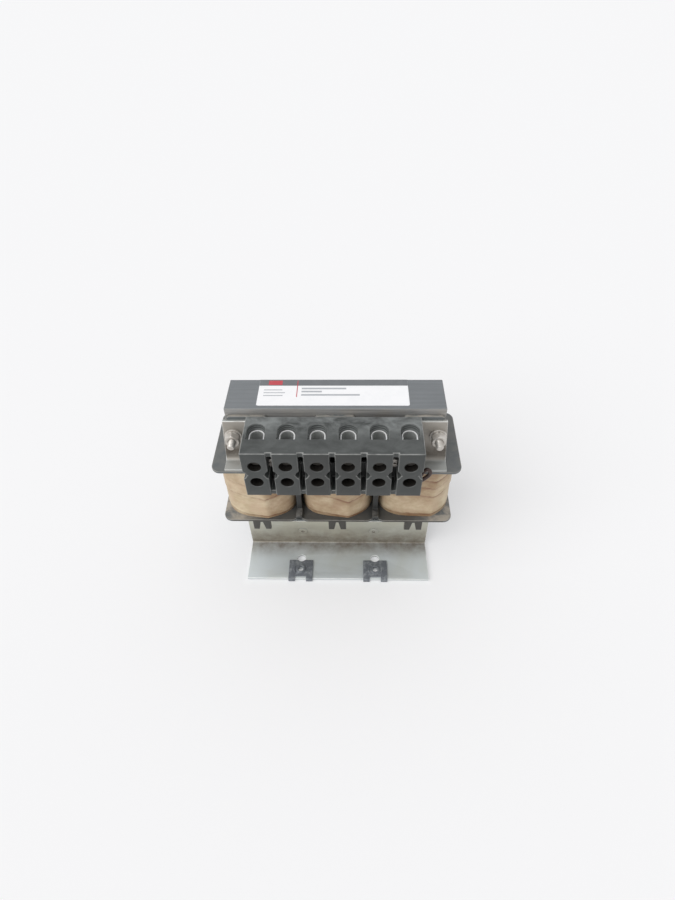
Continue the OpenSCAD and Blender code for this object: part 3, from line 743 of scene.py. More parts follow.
def loft(rings: Sequence[Sequence[Vector]], cap: bool = True,
         marks: dict[str, Sequence[Sequence[float]]] | None = None) -> bmesh.types.BMesh:
    """Draws a closed ring of points out through further rings of as many points.

    Args:
        rings: rings of points in millimetres, from the first to the last.
        cap: whether a face closes each end; otherwise the last ring meets the first.
        marks: values of named attributes, one for each point of each ring.

    Returns:
        The mesh, in metres.
    """
    mesh = bmesh.new()
    layers = {name: mesh.verts.layers.float.new(name) for name in (marks or {})}
    current = list(bmesh.ops.create_circle(mesh, segments=len(rings[0]), radius=1.0)["verts"])
    first = current
    for row, ring in enumerate(rings):
        if row:
            edges = [mesh.edges.get(pair) for pair in zip(current, current[1:] + current[:1])]
            made = bmesh.ops.extrude_edge_only(mesh, edges=edges)["geom"]
            fresh = {item for item in made if isinstance(item, bmesh.types.BMVert)}
            current = [next(e.other_vert(v) for e in v.link_edges if e.other_vert(v) in fresh)
                       for v in current]
        for k, (vert, point) in enumerate(zip(current, ring)):
            vert.co = point * MM
            for name, layer in layers.items():
                vert[layer] = marks[name][row][k]
    if cap:
        bmesh.ops.contextual_create(mesh, geom=first)
        bmesh.ops.contextual_create(mesh, geom=current)
    else:
        bmesh.ops.bridge_loops(mesh, edges=[e for e in mesh.edges if e.is_boundary])
    bmesh.ops.recalc_face_normals(mesh, faces=mesh.faces)
    return mesh


def place_piece(name: str, mesh: bmesh.types.BMesh, finish: Finish, nodes: Iterable[str] = (),
                smooth_angle: float = 32.0) -> bpy.types.Object:
    """Turns a mesh into a finished piece that rides on the body.

    Args:
        name: name of the piece.
        mesh: its mesh in metres, freed here.
        finish: its finish.
        nodes: nodes of the solid model that it stands for.
        smooth_angle: angle in degrees beyond which an edge stays sharp.

    Returns:
        The new object.
    """
    limit = math.radians(smooth_angle)
    for face in mesh.faces:
        face.smooth = True
    for edge in mesh.edges:
        edge.smooth = len(edge.link_faces) == 2 and edge.calc_face_angle(0.0) < limit
    data = bpy.data.meshes.new(name)
    mesh.to_mesh(data)
    mesh.free()
    piece = bpy.data.objects.new(name, data)
    bpy.context.scene.collection.objects.link(piece)
    data.materials.append(finish.material())
    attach(piece, BODY)
    if nodes:
        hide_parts(*nodes)
    LOG.info("piece %s: %d faces", name, len(data.polygons))
    return piece


def merged_copy(node: bpy.types.Object) -> bmesh.types.BMesh:
    """Copies a solid's triangles into one closed mesh of flat faces.

    Args:
        node: object of the solid model.

    Returns:
        The copy, with its doubles merged and its flat faces joined.
    """
    mesh = bmesh.new()
    mesh.from_mesh(node.data)
    bmesh.ops.remove_doubles(mesh, verts=mesh.verts, dist=MERGE_MM * MM)
    bmesh.ops.dissolve_limit(mesh, angle_limit=math.radians(FLAT_DEG), verts=mesh.verts,
                             edges=mesh.edges)
    return mesh


def break_edges(mesh: bmesh.types.BMesh, edge: Edge) -> None:
    """Bevels the sharp edges of a mesh, and marks the new faces for a painted highlight, those
    facing up or left, towards the lamp, most.

    Args:
        mesh: mesh in metres, changed in place.
        edge: kind of edge.
    """
    layer = mesh.faces.layers.float.new("edge")
    limit = math.radians(SHARP_DEG)
    sharp = [e for e in mesh.edges if len(e.link_faces) == 2 and e.calc_face_angle(0.0) > limit]
    made = bmesh.ops.bevel(mesh, geom=sharp, offset=edge.width * MM, offset_type="OFFSET",
                           affect="EDGES", segments=edge.segments, profile=0.5, material=-1,
                           clamp_overlap=False)
    for face in made["faces"]:
        face[layer] = 1.0
    bmesh.ops.remove_doubles(mesh, verts=mesh.verts, dist=MERGE_MM * MM)
    bmesh.ops.recalc_face_normals(mesh, faces=mesh.faces)
    for face in mesh.faces:
        if face[layer]:
            lit = EDGE_LIGHT + EDGE_UP * face.normal.z + EDGE_LEFT * max(0.0, -face.normal.x)
            face[layer] = min(1.0, max(EDGE_LEAST, lit))


def mark_faces(mesh: bmesh.types.BMesh, mark: str, rule: Rule) -> None:
    """Marks faces for a finish, or thins the marks that they have.

    Args:
        mesh: mesh in metres, changed in place.
        mark: name of the attribute.
        rule: how much of the mark a face keeps; without an earlier mark that is all of it.
    """
    kept = mesh.faces.layers.float.get(mark)
    layer = kept or mesh.faces.layers.float.new(mark)
    for face in mesh.faces:
        earlier = face[layer] if kept else 1.0
        face[layer] = earlier * rule(face.calc_center_median() / MM, face.normal)


@dataclass
class Assembly:
    """What all sub-assemblies share: the loaded solids by name."""

    nodes: dict[str, bpy.types.Object]

    def refine(self, node: str, finish: Finish, broken: Edge, **rules: Rule) -> bpy.types.Object:
        """Stands a copy with broken edges in the place of a solid.

        Args:
            node: name of the solid.
            finish: finish of the copy.
            broken: how its edges are broken.
            rules: rules for the marks that the finish reads, by the mark's name.

        Returns:
            The new piece.
        """
        mesh = merged_copy(self.nodes[node])
        break_edges(mesh, broken)
        for mark, rule in rules.items():
            mark_faces(mesh, mark, rule)
        return place_piece(f"{node}_finished", mesh, finish, [node])

    def paint_node(self, node: str, finish: Finish) -> None:
        """Gives a solid that stays as it is its finish.

        Args:
            node: name of the solid.
            finish: its finish.
        """
        data = self.nodes[node].data
        data.materials.clear()
        data.materials.append(finish.material())
        LOG.info("solid %s: %s", node, finish.name)


@dataclass
class Core(Assembly):
    """Laminated core and its gap spacers."""

    depth: float = 22.9
    # The sheets are 0.5 mm thick; drawn at twice that so that they show.
    sheets: int = 23
    groove: float = 0.1
    groove_share: float = 0.7
    relief: float = 0.03
    # How far the normals of the faces that are cut may lean along Y, and down.
    lean: float = 0.1
    down: float = 0.5

    def build(self) -> None:
        """Builds and dresses the core's pieces."""
        for node in ("core_e_stack", "core_yoke_bar"):
            self.laminate(node)
        for side in Side:
            self.paint_node(f"gap_spacer_{side.label}", BOARD)

    def laminate(self, node: str) -> None:
        """Cuts a stack's outside, except its underside, into sheets with grooves between them.

        Args:
            node: name of the solid.
        """
        mesh = merged_copy(self.nodes[node])
        break_edges(mesh, Edge.STACKED)
        for k in range(1, self.sheets):
            cut = (k / self.sheets - 0.5) * self.depth
            everything = [*mesh.verts, *mesh.edges, *mesh.faces]
            bmesh.ops.bisect_plane(mesh, geom=everything, dist=MERGE_MM / 2 * MM,
                                   plane_no=(0, 1, 0), plane_co=(0, cut * MM, 0))
        dark = mesh.faces.layers.float.new("groove")
        broken = mesh.faces.layers.float["edge"]
        ends = [f for f in mesh.faces
                if abs(f.normal.y) < self.lean and f.normal.z > -self.down and not f[broken]]
        made = bmesh.ops.inset_individual(mesh, faces=ends, thickness=self.groove * MM,
                                          depth=self.relief * MM, use_even_offset=True)
        for face in made["faces"]:
            face[dark] = self.groove_share
        place_piece(f"{node}_finished", mesh, CORE_VARNISH, [node])


@dataclass(frozen=True)
class Lap:
    """Lower edge of one turn of tape: its height, tilt and the angle where it is highest."""

    height: float
    tilt: float
    turn: float

    def at(self, angle: float) -> float:
        """Height of the edge above the coil's foot at an angle in radians."""
        return self.height + self.tilt * math.cos(angle - math.radians(self.turn))


@dataclass(frozen=True)
class CoilShape:
    """What sets one coil apart: its front ridge, how much flatter it is, its browns and laps."""

    ridge_at: float
    ridge_rise: float
    less: float
    # Brown shares left and right of the ridge: partly varnish, partly painted light and shade on
    # the two facets.
    brown_left: float
    brown_right: float
    laps: tuple[Lap, ...]


COIL_SHAPES = {
    Side.LEFT: CoilShape(
        ridge_at=4.2, ridge_rise=1.6, less=0.0, brown_left=0.1, brown_right=0.75,
        laps=(Lap(2.2, 0.9, 200), Lap(18.0, 2.4, 280), Lap(31.0, 1.5, 60))),
    Side.MIDDLE: CoilShape(
        ridge_at=6.7, ridge_rise=1.9, less=0.75, brown_left=0.55, brown_right=0.45,
        laps=(Lap(1.8, 0.8, 230), Lap(16.5, 2.0, 250), Lap(30.0, 1.8, 120))),
    Side.RIGHT: CoilShape(
        ridge_at=10.2, ridge_rise=1.2, less=0.95, brown_left=0.5, brown_right=0.0,
        laps=(Lap(2.6, 0.8, 330), Lap(19.5, 2.0, 320), Lap(27.5, 1.6, 340), Lap(34.5, 1.2, 20))),
}


@dataclass
class Coils(Assembly):
    """Bobbins, windings, tape and the spacers between the coils."""

    pitch: float = 44.72
    half_x: float = 21.68
    half_y: float = 20.95
    roundness: float = 2.7
    foot: float = 40.4
    top: float = 81.51
    tape: float = 1.2
    # Faces of the bobbins below this height, the lugs, take painted shade.
    lug_top: float = 38.0
    points: int = 168
    rows: int = 84
    # Half the ridge's width, and of the flatter tape on both sides of it with its depths.
    ridge_w: float = 14.0
    facet_w: float = 13.0
    facet_left: float = 0.3
    facet_right: float = 0.55
    # The laps wander, and dip where they cross the ridge, in full from a height up.
    wander: float = 0.5
    wander_rate: float = 2.5
    coil_seed: float = 7.0
    dip: float = 3.2
    dip_full: float = 10.0
    # How far the lower edge of a turn stands out, the height over which the turn leans back
    # in, and how far below the first lap the turn under it starts.
    step: float = 0.34
    lean: float = 14.0
    under: float = 12.0
    # Depths of long and short wrinkles, their waves in a millimetre, and the tape's set-back.
    wrinkles: tuple[float, float] = (0.09, 0.04)
    wrinkle_rates: tuple[float, float] = (0.16, 0.64)
    set_back: float = 0.1
    # Reach of the varnish below the lower edge of a turn, and its share away from the ridge.
    lap_w: float = 1.25
    lap_least: float = 0.5
    # Browner parts: width of the change at the ridge; the share from a height up, painted
    # shade under the top flange, fading in over some millimetres; and that below the first
    # lap, painted shade at the foot.
    brown_w: float = 1.2
    flange_shade: float = 0.3
    flange_shade_from: float = 20.0
    flange_shade_fade: float = 3.0
    foot_shade: float = 0.45

    def build(self) -> None:
        """Builds and dresses the three coils."""
        for side in Side:
            self.refine(f"bobbin_{side.label}", BOBBIN_NYLON, Edge.MOULDED, soot=self.lug_shade)
            self.paint_node(f"winding_{side.label}", WIRE)
            self.wrap(side, COIL_SHAPES[side])
        for side in OUTER_SIDES:
            self.refine(f"coil_spacer_{side.label}", SPACER_NYLON_SHADED, Edge.MOULDED)

    def lug_shade(self, spot: Vector, _: Vector) -> float:
        """How much painted shade a face of a bobbin gets: all on the lugs below the coils, under
        the flange.
        """
        return 1.0 if spot.z < self.lug_top else 0.0

    def wrap(self, side: Side, shape: CoilShape) -> None:
        """Winds the tape of one coil as a shell with stepped laps.

        Args:
            side: which coil.
            shape: what sets it apart.
        """
        height = self.top - self.foot
        turns = [self.turn(side, shape, height * row / self.rows) for row in range(self.rows + 1)]
        for up in (height, 0.0):
            inside = [self.outline(side, shape, a, self.tape, up)[0] for a in self.angles()]
            turns.append((inside, [1.0] * self.points, [1.0] * self.points))
        rings, laps, browns = zip(*turns)
        mesh = loft(rings, cap=False, marks={"lap": laps, "brown": browns})
        name = f"coil_wrap_{side.label}"
        place_piece(f"{name}_taped", mesh, TAPE, [name], smooth_angle=50)

    def angles(self) -> list[float]:
        """Angles in radians of the points round a coil."""
        return [2 * math.pi * k / self.points for k in range(self.points)]

    def outline(self, side: Side, shape: CoilShape, angle: float, inset: float,
                up: float) -> tuple[Vector, Vector]:
        """One point of a coil's outline and the direction away from the coil there.

        Args:
            side: which coil.
            shape: what sets it apart.
            angle: angle in radians round the coil.
            inset: distance inside the coil's outer shape.
            up: height above the coil's foot.

        Returns:
            The point and the outward direction.
        """
        power = 2 / self.roundness
        across, along = math.cos(angle), math.sin(angle)
        wide, deep = self.half_x - inset, self.half_y - shape.less - inset
        x = wide * math.copysign(abs(across) ** power, across)
        y = deep * math.copysign(abs(along) ** power, along)
        if y < 0:
            y -= shape.ridge_rise * max(0.0, 1 - abs(x - shape.ridge_at) / self.ridge_w)
        out = Vector((math.copysign(abs(across) ** (2 - power), across) / wide,
                      math.copysign(abs(along) ** (2 - power), along) / deep, 0)).normalized()
        if y < 0 and not inset:
            aside = (x - shape.ridge_at) / self.facet_w
            drawn = self.facet_right if aside > 0 else self.facet_left
            y += drawn * math.sin(math.pi * min(1.0, abs(aside)))
        return Vector((side.value * self.pitch + x, y, self.foot + up)), out

    def turn(self, side: Side, shape: CoilShape,
             up: float) -> tuple[list[Vector], list[float], list[float]]:
        """One ring of the tape's outside, with the marks that its finish reads.

        Args:
            side: which coil.
            shape: what sets it apart.
            up: height above the coil's foot.

        Returns:
            The points, how close each is to the lap above it, and how brown it is, partly as
            painted shade.
        """
        ring, laps, browns = [], [], []
        for angle in self.angles():
            point, out = self.outline(side, shape, angle, 0.0, up)
            off_ridge = point.x - side.value * self.pitch - shape.ridge_at
            on_ridge = max(0.0, 1 - abs(off_ridge) / self.ridge_w)
            round_at = Vector((self.wander_rate * math.cos(angle),
                               self.wander_rate * math.sin(angle), self.coil_seed * side.value))
            shift = self.wander * noise.noise(round_at)
            if point.y < 0:
                shift -= self.dip * on_ridge * min(1.0, up / self.dip_full)
            edges = [lap.at(angle) + shift for lap in shape.laps]
            start = max((e for e in edges if e <= up), default=edges[0] - self.under)
            gap = min((e - up for e in edges if e > up), default=math.inf)
            spot = Vector((point.x, point.y, up))
            bulge = sum(depth * noise.noise(spot * rate)
                        for depth, rate in zip(self.wrinkles, self.wrinkle_rates))
            bulge -= self.set_back + self.step * min(1.0, (up - start) / self.lean)
            ring.append(point + out * bulge)
            dark = self.lap_least + (1 - self.lap_least) * on_ridge
            laps.append(math.exp(-(gap / self.lap_w) ** 2) * dark)
            right = soft_step(off_ridge / self.brown_w)
            brown = shape.brown_left + (shape.brown_right - shape.brown_left) * right
            # Painted shade under the top flange and at the coil's foot.
            brown += self.flange_shade * soft_step((up - self.flange_shade_from) / self.flange_shade_fade)
            if up < edges[0]:
                brown += self.foot_shade
            browns.append(min(1.0, brown))
        return ring, laps, browns


@dataclass
class SheetMetal(Assembly):
    """Folded brackets with their rivets and clip nuts."""

    # The terminal bracket's sheet lies in front of this, where the painted highlight on its edges
    # is weaker.
    tab_y: float = -17.0
    tab_edge: float = 0.3
    rivet_x: float = 22.36
    rivet_z: float = 14.8
    dimple_r: float = 1.15
    # How dark the dimple in a rivet's head is, with 1 for the mark on a plain edge.
    dimple_dark: float = 3.0
    hole_x: float = 23.1
    clip_hole_y: float = -33.75
    clip_top: float = 3.2
    # Pressed ribs on both sides of the thread of each clip nut, and their sweep in degrees.
    rib_r: float = 4.1
    rib_d: float = 0.9
    rib_sweep: float = 70.0
    rib_points: int = 10

    def build(self) -> None:
        """Builds and dresses the sheet metal."""
        for node in ("front_foot_bracket", "rear_foot_bracket"):
            self.refine(node, ZINC_FOOT, Edge.SHEET)
        self.refine("terminal_bracket", ZINC_TAB, Edge.SHEET, edge=self.on_tab)
        self.refine("foot_rivets", ZINC_RIVET, Edge.CRISP, edge=self.dimple)
        for side in OUTER_SIDES:
            self.clip_nut(side)

    def on_tab(self, spot: Vector, _: Vector) -> float:
        """How strong the painted highlight on an edge of the terminal bracket is: least on the part
        that lies.
        """
        return self.tab_edge if spot.y < self.tab_y else 1.0

    def dimple(self, spot: Vector, _: Vector) -> float:
        """How dark a rivet's edge is: the dimple in its head is, and nothing else."""
        off_middle = math.hypot(abs(spot.x) - self.rivet_x, spot.z - self.rivet_z)
        return self.dimple_dark if off_middle < self.dimple_r else 0.0

    def clip_nut(self, side: Side) -> None:
        """Presses two curved ribs into a clip nut's upper leaf.

        Args:
            side: which clip.
        """
        node = f"clip_nut_{side.label}"
        mesh = merged_copy(self.nodes[node])
        break_edges(mesh, Edge.CRISP)
        middle = Vector((side.value * self.hole_x, self.clip_hole_y, self.clip_top))
        for way in (180, 0):
            start = math.radians(way - self.rib_sweep / 2)
            rim = Vector((math.cos(start), math.sin(start), 0))
            made = bmesh.ops.create_circle(mesh, segments=self.rib_points,
                                           radius=self.rib_d / 2 * MM, cap_ends=True)
            stand = Matrix.Translation((middle + rim * self.rib_r) * MM)
            turn = Matrix.Rotation(start, 4, "Z") @ Matrix.Rotation(math.radians(90), 4, "X")
            bmesh.ops.transform(mesh, matrix=stand @ turn, verts=made["verts"])
            face = made["verts"][0].link_faces[0]
            bmesh.ops.spin(mesh, geom=[face, *face.edges, *face.verts], cent=middle * MM,
                           axis=(0, 0, 1), angle=math.radians(self.rib_sweep),
                           steps=self.rib_points, use_merge=False)
        bmesh.ops.recalc_face_normals(mesh, faces=mesh.faces)
        place_piece(f"{node}_finished", mesh, SPRING, [node])


@dataclass
class Fasteners(Assembly):
    """Clamp bolts with threads, washers, nuts and the strip's screws."""

    bolt_x: float = 52.6
    bolt_z: float = 102.42
    bolt_r: float = 2.0
    head_from: float = 14.25
    head_h: float = 2.8
    # The thread: its core, its pitch, rings in a pitch, where it starts and its run-out.
    core_r: float = 1.66
    pitch: float = 0.7
    pitch_rings: int = 9
    thread_from: float = -19.6
    run_out: float = 0.4
    # The bolt's tip, the room that the thread leaves before it, and its cone.
    tip: float = -24.25
    tip_room: float = 0.35
    tip_h: float = 0.3
    tip_in: float = 0.25
    across_flats: float = 7.0
    nut_from: float = -16.85
    nut_h: float = 3.2
    bore_cut: float = 0.3
    # A hexagon's turned end: its flat and the start of its cone, as shares of half the width
    # across flats, the cone's angle in degrees, its height and its rings.
    end_flat: float = 0.93
    end_cone: float = 0.97
    cone_deg: float = 30.0
    cone_h: float = 0.42
    cone_rings: int = 8
    points: int = 48

    def build(self) -> None:
        """Builds and dresses the fasteners."""
        for node in ("flat_washers", "lock_washers", "strip_screws"):
            self.refine(node, ZINC_FASTENER, Edge.CRISP)
        self.pair("clamp_nuts", self.nut_rings(), cap=False)
        self.pair("clamp_bolts", self.bolt_rings(), cap=True)

    def pair(self, node: str, rings: list[list[Vector]], cap: bool) -> None:
        """Stands a lofted fastener at both ends of the core.

        Args:
            node: solid that the two stand for.
            rings: rings of one fastener on the axis x = z = 0.
            cap: whether its ends are closed.
        """
        whole = bmesh.new()
        for side in OUTER_SIDES:
            move = Vector((side.value * self.bolt_x, 0, self.bolt_z))
            one = loft([[p + move for p in ring] for ring in rings], cap)
            data = bpy.data.meshes.new("fastener")
            one.to_mesh(data)
            one.free()
            whole.from_mesh(data)
            bpy.data.meshes.remove(data)
        place_piece(f"{node}_finished", whole, ZINC_FASTENER, [node])

    def ring(self, y: float, radius: float, flats: bool = False, lead: float = 0.0) -> list[Vector]:
        """One ring round the Y axis, round, hexagonal with its corners taken off, or on a thread.

        Args:
            y: place along the axis.
            radius: radius of the ring, or the most that a hexagon's corners reach.
            flats: whether the ring is held to the hexagon.
            lead: depth of the thread; the ring follows its helix.

        Returns:
            The points.
        """
        ring = []
        for k in range(self.points):
            angle = 2 * math.pi * k / self.points
            here = radius
            if flats:
                turn = (angle + math.pi / 6) % (math.pi / 3) - math.pi / 6
                here = min(radius, self.across_flats / 2 / math.cos(turn))
            if lead:
                phase = (y / self.pitch + k / self.points) % 1.0
                here -= lead * abs(2 * phase - 1)
            ring.append(Vector((here * math.cos(angle), y, here * math.sin(angle))))
        return ring

    def hexagon(self, end: float, foot: float) -> list[list[Vector]]:
        """Rings of a hexagon whose end has its corners turned off.

        Args:
            end: place of the turned end along Y.
            foot: place of its other end.

        Returns:
            The rings from the turned end to the foot.
        """
        way = 1 if foot > end else -1
        half, corner = self.across_flats / 2, self.across_flats / math.sqrt(3)
        rings = [self.ring(end, half * self.end_flat)]
        for k in range(self.cone_rings):
            depth = self.cone_h * k / (self.cone_rings - 1)
            reach = half * self.end_cone + depth / math.tan(math.radians(self.cone_deg))
            rings.append(self.ring(end + way * depth, reach, flats=True))
        return rings + [self.ring(foot, corner, flats=True)]

    def nut_rings(self) -> list[list[Vector]]:
        """Rings of a nut: its outside from the turned front to the foot, then its bore back.

        Returns:
            The rings.
        """
        front = self.nut_from - self.nut_h
        bore = [self.ring(self.nut_from, self.bolt_r),
                self.ring(front + self.bore_cut, self.bolt_r),
                self.ring(front, self.bolt_r + self.bore_cut)]
        return self.hexagon(front, self.nut_from) + bore

    def bolt_rings(self) -> list[list[Vector]]:
        """Rings of a bolt: its head, its shank, its thread and the turned tip.

        Returns:
            The rings.
        """
        rings = self.hexagon(self.head_from + self.head_h, self.head_from)
        rings += [self.ring(self.head_from, self.bolt_r),
                  self.ring(self.thread_from + self.run_out, self.bolt_r)]
        length = self.thread_from - self.tip - self.tip_room
        for k in range(int(length / self.pitch * self.pitch_rings)):
            y = self.thread_from - k * self.pitch / self.pitch_rings
            rings.append(self.ring(y, self.bolt_r, lead=self.bolt_r - self.core_r))
        return rings + [self.ring(self.tip + self.tip_h, self.core_r),
                        self.ring(self.tip, self.core_r - self.tip_in)]


@dataclass
class TerminalStrip(Assembly):
    """Six-pole housing with its barrels, screws and coil leads."""

    poles: int = 6
    first_x: float = -38.2
    pole_pitch: float = 15.0
    # Front of the poles, the depth that counts as front, and how much darker each pole's front is.
    front: float = -40.55
    front_skin: float = 0.5
    pole_soot: tuple[float, ...] = (0.0, 0.06, 0.4, 0.38, 0.2, 0.12)
    # The painted highlight on edges is strongest round the strip's top, weaker on others, and
    # weakest round holes.
    bright_from: float = 113.5
    edge_less: float = 0.75
    edge_least: float = 0.12
    # Screw wells, the width of their rims, and the room in which a face counts as their wall.
    well_r: float = 3.25
    well_rows: tuple[float, float] = (95.11, 106.41)
    rim_w: float = 1.0
    well_room: float = 0.2
    # How far the normals of a well's and a mouth's walls may lean.
    well_lean: float = 0.6
    mouth_lean: float = 0.3
    # Room round the wire mouths: half its width, its extent in Y, its floor, and the dust on its
    # walls, which also lightens them as painted light.
    mouth_half: float = 5.4
    mouth_y: tuple[float, float] = (-38.6, -17.0)
    mouth_floor: float = 111.0
    mouth_dust_and_light: float = 0.6

    def build(self) -> None:
        """Builds and dresses the strip."""
        self.refine("terminal_housing", STRIP_NYLON, Edge.HOUSING, edge=self.edge_highlight,
                    soot=self.sooty, dust=self.in_mouth)
        for pole in range(1, self.poles + 1):
            self.refine(f"terminal_barrel_{pole}", NICKEL_BARREL, Edge.RIM)
            self.lead(f"coil_lead_{pole}")
        for row in ("upper", "lower"):
            self.refine(f"{row}_terminal_screws", NICKEL_SCREW_SHADED, Edge.CRISP)

    def off_pole(self, x: float) -> float:
        """Distance in X from the middle of the nearest pole."""
        half = self.pole_pitch / 2
        return abs((x - self.first_x + half) % self.pole_pitch - half)

    def by_well(self, spot: Vector, room: float) -> bool:
        """Whether a place lies within a well, or not further than `room` from it."""
        off, reach = self.off_pole(spot.x), self.well_r + room
        return any(math.hypot(off, spot.z - row) < reach for row in self.well_rows)

    def by_mouth(self, spot: Vector) -> bool:
        """Whether a place lies in the room round a wire mouth."""
        front, back = self.mouth_y
        return self.off_pole(spot.x) < self.mouth_half and front < spot.y < back

    def edge_highlight(self, spot: Vector, _: Vector) -> float:
        """How strong the painted highlight on an edge of the housing is.

        Args:
            spot: middle of the face.

        Returns:
            The share: least at wells and mouths, most round the top.
        """
        if self.by_well(spot, self.rim_w) or self.by_mouth(spot):
            return self.edge_least
        return 1.0 if spot.z > self.bright_from else self.edge_less

    def sooty(self, spot: Vector, normal: Vector) -> float:
        """How dark a face of the housing is.

        Args:
            spot: middle of the face.
            normal: its normal.

        Returns:
            The share: all on the walls of the screw wells, where it is painted shade, and some on
                the fronts of poles.
        """
        # Some poles' fronts are darker than others.
        if spot.y < self.front + self.front_skin:
            return self.pole_soot[int((spot.x - self.first_x) / self.pole_pitch + 0.5)]
        # The walls of the screw wells take painted shade.
        wall = abs(normal.y) < self.well_lean
        return 1.0 if wall and self.by_well(spot, self.well_room) else 0.0

    def in_mouth(self, spot: Vector, normal: Vector) -> float:
        """How dusty an upright face is: the walls of the wire mouths are, with dust that also
        lightens them as painted light.
        """
        wall = abs(normal.z) < self.mouth_lean and spot.z > self.mouth_floor
        return self.mouth_dust_and_light if wall and self.by_mouth(spot) else 0.0

    def lead(self, node: str) -> None:
        """Rounds a lead's eight-sided solid.

        Args:
            node: name of the solid.
        """
        mesh = merged_copy(self.nodes[node])
        piece = place_piece(f"{node}_sleeve", mesh, SLEEVE, [node], smooth_angle=60)
        rounding = piece.modifiers.new("rounding", "SUBSURF")
        rounding.levels = rounding.render_levels = 1


@dataclass
class Label(Assembly):
    """White label on the core with plain fields of colour."""

    top: float = 117.82
    # Thickness of the printed fields, drawn thicker than ink so that they lie clear of the film.
    ink: float = 0.03
    # Each field: its name, its ink and its corners, x from, y from, x to, y to.
    fields: tuple[tuple[str, PrintedFilm, tuple[float, float, float, float]], ...] = (
        ("label_header", INK_GREY, (-39.75, 6.3, 37.45, 11.15)),
        ("label_red_field", INK_RED, (-35.0, 6.8, -27.8, 10.4)),
        ("label_rule", INK_RED, (-20.0, -2.6, -19.6, 10.4)),
        ("label_line_1", INK_PALE, (-17.5, 3.4, 5.5, 4.6)),
        ("label_line_2", INK_PALE, (-17.5, 1.0, -7.0, 2.2)),
        ("label_line_3", INK_PALE, (-17.5, -1.6, 12.5, -0.4)),
        ("label_line_4", INK_PALE, (-37.0, 2.6, -27.5, 3.2)),
        ("label_line_5", INK_PALE, (-37.0, 0.4, -26.0, 1.0)),
        ("label_line_6", INK_PALE, (-37.0, -1.8, -27.0, -1.2)),
    )

    def build(self) -> None:
        """Builds the label's film and its fields."""
        self.refine("rating_label", FILM, Edge.FILM)
        for name, finish, corners in self.fields:
            self.field(name, finish, corners)

    def field(self, name: str, finish: PrintedFilm,
              corners: tuple[float, float, float, float]) -> None:
        """Lays one plain field on the film, the others thicker than the grey header.

        Args:
            name: name of the piece.
            finish: its ink.
            corners: x from, y from, x to, y to.
        """
        x0, y0, x1, y1 = corners
        rise = self.ink * (1 if finish is INK_GREY else 2)
        middle = Vector(((x0 + x1) / 2, (y0 + y1) / 2, self.top)) * MM
        mesh = bmesh.new()
        made = bmesh.ops.create_grid(mesh, x_segments=1, y_segments=1, size=0.5)
        bmesh.ops.scale(mesh, vec=((x1 - x0) * MM, (y1 - y0) * MM, 1), verts=made["verts"])
        bmesh.ops.translate(mesh, vec=middle, verts=made["verts"])
        grown = bmesh.ops.extrude_face_region(mesh, geom=mesh.faces[:])["geom"]
        upper = [v for v in grown if isinstance(v, bmesh.types.BMVert)]
        bmesh.ops.translate(mesh, vec=(0, 0, rise * MM), verts=upper)
        bmesh.ops.recalc_face_normals(mesh, faces=mesh.faces)
        place_piece(name, mesh, finish)


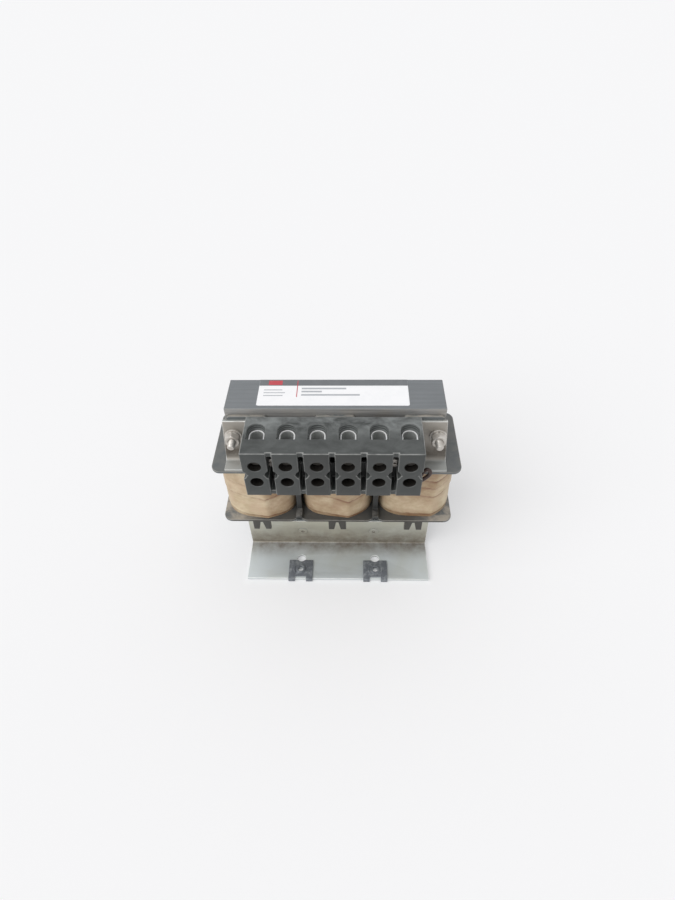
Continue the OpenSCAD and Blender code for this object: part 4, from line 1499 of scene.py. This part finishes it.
@dataclass(frozen=True)
class Studio:
    """Pale floor, soft light and the camera that stands where the photograph was taken."""

    focal_px: float = 546.883
    frame_px: int = 900
    sensor_w: float = 36.0
    # Distances in metres between which the camera sees.
    clip: tuple[float, float] = (0.01, 50.0)
    place: tuple[float, float, float] = (8.758, -213.168, 301.716)
    # Angles of the camera in degrees.
    pitch: float = 46.649
    yaw: float = -2.258
    roll: float = -1.493
    sky: float = 0.66
    sky_tone: str = "#fcfcfd"
    key_strength: float = 1.5
    # Angle in degrees under which the lamp is seen: a large soft box overhead.
    key_angle: float = 50.0
    key_from: tuple[float, float, float] = (-0.75, -0.62, 0.9)
    floor_span: float = 8000.0
    floor_tone: str = "#fafafb"
    # Share of the floor that shows as plain white to the eye and to reflections.
    floor_white: float = 0.28
    white_tone: str = "#fafafa"

    def build(self) -> None:
        """Sets up the camera, the light and the floor."""
        bpy.context.scene.view_settings.view_transform = "Standard"
        self.add_camera()
        self.add_light()
        self.add_floor()

    def add_camera(self) -> None:
        """Places the camera by its pitch, yaw and roll."""
        pitch, yaw, roll = (math.radians(a) for a in (self.pitch, self.yaw, self.roll))
        flat = math.cos(pitch)
        ahead = Vector((math.sin(yaw) * flat, math.cos(yaw) * flat, -math.sin(pitch)))
        level = Vector((math.cos(yaw), -math.sin(yaw), 0))
        above = level.cross(ahead)
        right = math.cos(roll) * level + math.sin(roll) * above
        up = -math.sin(roll) * level + math.cos(roll) * above
        data = bpy.data.cameras.new("photo_camera")
        data.sensor_fit = "AUTO"
        data.sensor_width = self.sensor_w
        data.lens = self.focal_px * self.sensor_w / self.frame_px
        data.clip_start, data.clip_end = self.clip
        camera = bpy.data.objects.new("photo_camera", data)
        turn = Matrix((right, up, -ahead)).transposed().to_4x4()
        camera.matrix_world = Matrix.Translation(Vector(self.place) * MM) @ turn
        bpy.context.scene.collection.objects.link(camera)
        bpy.context.scene.camera = camera

    def seen(self, graph: Graph) -> Socket:
        """One for rays from the eye, or from it by way of metal or glass, and zero for light.

        Args:
            graph: nodes of a material or of the world.

        Returns:
            The value.
        """
        either = graph.add("LightPath", out="Is Camera Ray")
        for kind in ("Is Glossy Ray", "Is Transmission Ray"):
            either = graph.add("Math", [either, graph.add("LightPath", out=kind)], **LARGER)
        return either

    def add_light(self) -> None:
        """Adds an even white surround and one large soft lamp from the left front."""
        world = bpy.data.worlds.new("white_surround")
        bpy.context.scene.world = world
        graph = Graph(world)
        level = graph.add("MapRange", [self.seen(graph), 0, 1, self.sky, 1])
        back = graph.add("Background", {"Color": self.sky_tone, "Strength": level})
        graph.add("OutputWorld", {"Surface": back})
        data = bpy.data.lights.new("soft_key", "SUN")
        data.energy = self.key_strength
        data.angle = math.radians(self.key_angle)
        lamp = bpy.data.objects.new("soft_key", data)
        aim = (-Vector(self.key_from)).to_track_quat("-Z", "Y")
        lamp.matrix_world = aim.to_matrix().to_4x4()
        bpy.context.scene.collection.objects.link(lamp)

    def add_floor(self) -> None:
        """Adds the pale floor, wide enough to fill the frame."""
        mesh = bmesh.new()
        bmesh.ops.create_grid(mesh, x_segments=4, y_segments=4, size=self.floor_span / 2 * MM)
        data = bpy.data.meshes.new("floor")
        mesh.to_mesh(data)
        mesh.free()
        floor = bpy.data.objects.new("floor", data)
        bpy.context.scene.collection.objects.link(floor)
        material = bpy.data.materials.new("pale_floor")
        graph = Graph(material)
        matte = graph.add("BsdfDiffuse", {"Color": self.floor_tone})
        white = graph.add("Emission", {"Color": self.white_tone, "Strength": 1.0})
        share = graph.add("Math", [self.seen(graph), self.floor_white], **TIMES)
        both = graph.add("MixShader", [share, matte, white])
        graph.add("OutputMaterial", {"Surface": both})
        data.materials.append(material)


def main() -> None:
    """Builds every sub-assembly in order."""
    logging.basicConfig(level=logging.INFO, format="%(name)s %(message)s")
    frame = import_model()
    Studio().build()
    for kind in (Core, Coils, SheetMetal, Fasteners, TerminalStrip, Label):
        LOG.info("building %s", kind.__name__)
        kind(frame["nodes"]).build()


if __name__ == "__main__":
    main()
